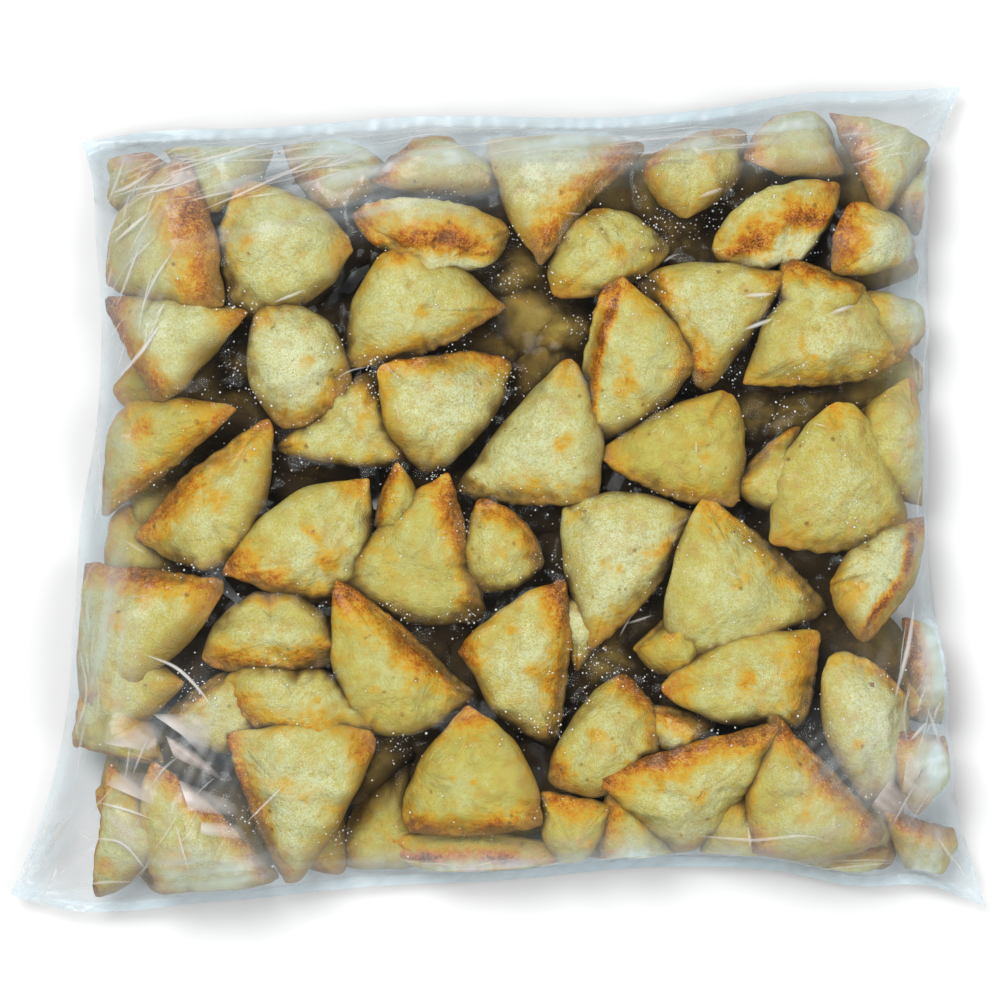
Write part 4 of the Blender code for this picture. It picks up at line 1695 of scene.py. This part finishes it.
@dataclass
class FilmFolds:
    """Creases and facets, as thin closed slips that lie on the film, with painted highlights on the creases and
    painted reflections on the facets.
    """

    film: Film
    # the warm white of the painted highlights and painted reflections
    finish: FilmFinish = FilmFinish(milky=(0.93, 0.91, 0.87), roughness=0.25)
    spacing: float = 1.0
    hair_spacing: float = 2.2
    profile: int = 6
    hair_profile: int = 4
    stand: float = 0.35
    rise: float = 0.5
    lift: float = 0.18
    # painted highlight: how white the creases' crests are painted
    painted_highlight: float = 0.72
    seed: int = 31

    def build(self) -> bpy.types.Object:
        """Make all the folds.

        Returns:
            One piece.
        """
        random = np.random.default_rng(self.seed)
        slips = [self.crease(crease, self.spacing, self.profile) for crease in CREASES]
        slips += [self.crease(crease, self.hair_spacing, self.hair_profile)
                  for fan in FANS for crease in fan.creases(self.film.outline, random)]
        slips += [self.facet(facet) for facet in FACETS]
        piece = Skin.joined(slips).piece("film_folds", self.finish.make())
        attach(piece, BODY)
        return piece

    def crease(self, crease: Crease, spacing: float, profile: int) -> Skin:
        """Carry a low arch along a smooth path, tapering to a point at both ends.

        Args:
            crease: its path and looks.
            spacing: the distance between its cross-sections.
            profile: how many faces it has across.

        Returns:
            The slip.
        """
        length = np.linalg.norm(np.diff(np.array(crease.path), axis=0), axis=1).sum()
        share = np.linspace(0, 1, max(int(length / spacing), 7))
        path = EdgeCurve(crease.path).at(share)
        ahead = np.gradient(path, axis=0)
        ahead /= np.linalg.norm(ahead, axis=1)[:, None]
        sideways = np.stack([ahead[:, 1], -ahead[:, 0]], axis=1)
        taper = np.sin(math.pi * np.clip(share, 0.02, 0.98)) ** 0.6
        across = np.linspace(-1, 1, profile + 1)
        places = path[:, None] + sideways[:, None] * (across[:, None] * crease.width / 2) * taper[:, None, None]
        arch = self.rise * (1 - across ** 2) * taper[:, None]
        # painted highlight: white along the crest, fading to its edges and ends
        bright = self.painted_highlight * crease.white * (1 - across ** 2) * taper[:, None]
        return self.slip(places, arch, bright, crease.blush)

    def facet(self, facet: Facet) -> Skin:
        """A bilinear patch between the four corners, with a slight bow and a painted reflection that fades across
        it.
        """
        a, b = np.meshgrid(np.linspace(0, 1, 16), np.linspace(0, 1, 16))
        corners = np.array(facet.corners, dtype=float)
        a, b = a[..., None], b[..., None]
        places = ((1 - a) * (1 - b) * corners[0] + a * (1 - b) * corners[1]
                  + a * b * corners[2] + (1 - a) * b * corners[3])
        bow = 0.6 * 16 * (a * (1 - a) * b * (1 - b))[..., 0]
        a, b = a[..., 0], b[..., 0]
        # painted reflection: milky white fading from one edge, streaked
        fade = (1 - a) ** 0.7 * superellipse(2.2 * np.minimum(b, 1 - b), 1.4)
        bright = facet.white * fade * (0.5 + 0.9 * Streaks(2.2, 16.0).over(places, -38.0))
        return self.slip(places, bow, bright, facet.blush)

    def slip(self, places: Array, rise: Array, bright: Array, blush: float) -> Skin:
        """Close a grid into a thin slip: its upper side over a slightly lower one.

        Args:
            places: the grid in plan.
            rise: how far each node stands above the film.
            bright: how milky it is there: painted highlight on creases, painted reflection on facets.
            blush: how pink.

        Returns:
            The slip's skin.
        """
        rows, columns = places.shape[:2]
        film = self.film.height_at(places)
        upper = film + self.stand + rise
        lower = upper - self.lift
        first, second = places[0, -1] - places[0, 0], places[-1, 0] - places[0, 0]
        turns_right = first[0] * second[1] - first[1] * second[0] < 0
        points = np.concatenate([
            np.concatenate([places, upper[..., None]], axis=-1).reshape(-1, 3),
            np.concatenate([places, lower[..., None]], axis=-1).reshape(-1, 3)])
        top = sheet_quads(rows, columns)
        count = rows * columns
        walk = np.concatenate([np.arange(columns - 1), np.arange(rows - 1) * columns + columns - 1,
                               np.arange(columns - 1, 0, -1) + (rows - 1) * columns,
                               np.arange(rows - 1, 0, -1) * columns])
        after = np.roll(walk, -1)
        wall = np.stack([walk, walk + count, after + count, after], axis=1)
        quads = np.concatenate([top, top[:, ::-1] + count, wall])
        if turns_right:
            quads = quads[:, ::-1]
        marks = {"veil": np.concatenate([bright.ravel(), bright.ravel() * 0.4]),
                 "chill": np.zeros(2 * count), "blush": np.full(2 * count, blush)}
        return Skin(points, quads, NO_TRIANGLES, marks)


# ---------------------------------------------------------------- frost and crumbs


@dataclass
class Grains:
    """Loose grains scattered over the pile: each an eight-faced stone of its own size and turn."""

    film: Film
    name: str
    slot: str
    material: bpy.types.Material
    count: int
    sizes: Point
    clusters: int
    together: float
    spread: float
    flatness: float
    in_gaps: float
    hang: Point  # how far up a grain clings, from 0 on the pile to 1 at the film
    seed: int

    def build(self) -> bpy.types.Object:
        """Scatter the grains and make one piece of them.

        Returns:
            The piece.
        """
        random = np.random.default_rng(self.seed)
        places = self.scatter(random)
        pile = self.film.pile.map
        height = pile.read(pile.top, places) + 0.15
        size = self.sizes[0] + (self.sizes[1] - self.sizes[0]) * random.random(len(places)) ** 2
        film = self.film.height_at(places)
        height = height + random.uniform(*self.hang, len(places)) * np.maximum(film - height, 0)
        height = np.minimum(height, film - size * 0.6)
        stone = np.array([(1, 0, 0), (0, 1, 0), (-1, 0, 0), (0, -1, 0), (0, 0, 1), (0, 0, -1)], dtype=float)
        faces = np.array([(0, 1, 4), (1, 2, 4), (2, 3, 4), (3, 0, 4), (1, 0, 5), (2, 1, 5), (3, 2, 5), (0, 3, 5)])
        shape = stone * random.uniform(0.6, 1.3, (len(places), 6, 1))
        shape[..., 2] *= self.flatness
        shape = np.einsum("nij,nkj->nki", self.turns(random, len(places)), shape)
        shape *= size[:, None, None] / 2
        middle = np.concatenate([places, height[:, None]], axis=1)
        points = (shape + middle[:, None]).reshape(-1, 3)
        starts = np.arange(len(places))[:, None, None] * 6
        skin = Skin(points, NO_QUADS, (faces[None] + starts).reshape(-1, 3), {})
        piece = skin.piece(self.name, self.material, smooth=False)
        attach(piece, BODY)
        return piece

    def scatter(self, random: np.random.Generator) -> Array:
        """Choose the grains' places: some in clusters, and more of them where the pile is low."""
        outline = self.film.outline
        wanted = self.count * 6
        heart = outline.plan(random.uniform(0.08, 0.95, self.clusters), random.uniform(0.08, 0.95, self.clusters))
        clustered = heart[random.integers(0, self.clusters, wanted)]
        clustered = clustered + random.normal(0, self.spread, (wanted, 2))
        spread = outline.plan(random.uniform(0.04, 0.97, wanted), random.uniform(0.04, 0.97, wanted))
        places = np.where(random.random(wanted)[:, None] < self.together, clustered, spread)
        u, v = outline.shares(places)
        pile = self.film.pile.map
        gap = self.film.height_at(places) - pile.read(pile.top, places)
        chance = (1 - self.in_gaps) + self.in_gaps * np.clip((gap - 1.5) / 7, 0, 1)
        inside = (outline.depth_inside(u, v) > 3) & (pile.read(pile.top, places) > 3)
        return places[inside & (random.random(wanted) < chance)][:self.count]

    @staticmethod
    def turns(random: np.random.Generator, count: int) -> Array:
        """Random rotations, from unit quaternions."""
        w, x, y, z = (lambda q: (q / np.linalg.norm(q, axis=0)))(random.normal(size=(4, count)))
        return np.stack([
            np.stack([1 - 2 * (y * y + z * z), 2 * (x * y - z * w), 2 * (x * z + y * w)], axis=-1),
            np.stack([2 * (x * y + z * w), 1 - 2 * (x * x + z * z), 2 * (y * z - x * w)], axis=-1),
            np.stack([2 * (x * z - y * w), 2 * (y * z + x * w), 1 - 2 * (x * x + y * y)], axis=-1)], axis=-2)


# ---------------------------------------------------------------- the studio


@dataclass(frozen=True)
class Lamp:
    """A soft box: its place in metres, its width, and its power in watts."""

    name: str
    place: tuple[float, float, float]
    size: float
    power: float


@dataclass
class Studio:
    """A pale floor, soft boxes round the bag, and a camera straight above it."""

    lamps: tuple[Lamp, ...] = (
        Lamp("key", (-0.55, 0.75, 2.0), 0.9, 30.0),
        Lamp("fill", (1.1, -0.2, 1.9), 1.0, 15.0),
        Lamp("foot", (-0.5, -1.1, 1.9), 1.0, 9.0),
    )
    sky: float = 0.29
    bounces: int = 3
    soft_bounces: int = 1
    camera_height: float = 2.2
    framed_height: float = 0.025
    framed_width: float = 0.45
    sensor: float = 36.0
    offset: Point = (0.9, -0.45)
    floor_reach: float = 6.0

    def build(self) -> None:
        """Set up the floor, the lamps, the sky and the camera."""
        reach = self.floor_reach / MM
        corners = np.array([(-reach, -reach, 0), (reach, -reach, 0), (reach, reach, 0), (-reach, reach, 0)])
        floor = Skin(corners.astype(float), np.array([[0, 1, 2, 3]]), NO_TRIANGLES, {})
        floor.piece("floor", FloorFinish().make(), smooth=False)
        for lamp in self.lamps:
            light = bpy.data.lights.new(lamp.name, "AREA")
            light.size = lamp.size
            light.energy = lamp.power
            holder = bpy.data.objects.new(lamp.name, light)
            holder.location = lamp.place
            holder.rotation_euler = (-Vector(lamp.place)).to_track_quat("-Z", "Y").to_euler()
            bpy.context.scene.collection.objects.link(holder)
        world = bpy.data.worlds.new("studio")
        world.use_nodes = True
        world.node_tree.nodes["Background"].inputs["Color"].default_value = (1.0, 1.0, 1.0, 1.0)
        world.node_tree.nodes["Background"].inputs["Strength"].default_value = self.sky
        bpy.context.scene.world = world
        bpy.context.scene.view_settings.view_transform = "Standard"
        bpy.context.scene.cycles.max_bounces = self.bounces
        bpy.context.scene.cycles.diffuse_bounces = self.soft_bounces
        camera = bpy.data.cameras.new("camera")
        camera.sensor_width = self.sensor
        camera.lens = self.sensor * (self.camera_height - self.framed_height) / self.framed_width
        holder = bpy.data.objects.new("camera", camera)
        holder.location = (self.offset[0] * MM, self.offset[1] * MM, self.camera_height)
        bpy.context.scene.collection.objects.link(holder)
        bpy.context.scene.camera = holder


def main() -> None:
    """Build the bag from the contents out, then the studio."""
    logging.basicConfig(level=logging.INFO, format="%(name)s %(message)s")
    outline = BagOutline()
    pile = Pile(outline)
    pile.fill()
    pile.pieces()
    film = Film(outline, pile)
    film.build()
    FilmFolds(film).build()
    Grains(film, "ice_crystals", "frost", IceFinish().make(), 2100, (0.35, 1.25), 170, 0.85, 4.5,
           1.0, 0.93, (0.1, 0.9), 3).build()
    Grains(film, "crust_crumbs", "pastry", CrumbFinish().make(), 90, (0.8, 2.6), 20, 0.5, 12.0,
           0.5, 0.95, (0.0, 0.0), 4).build()
    Studio().build()


if __name__ == "__main__":
    main()
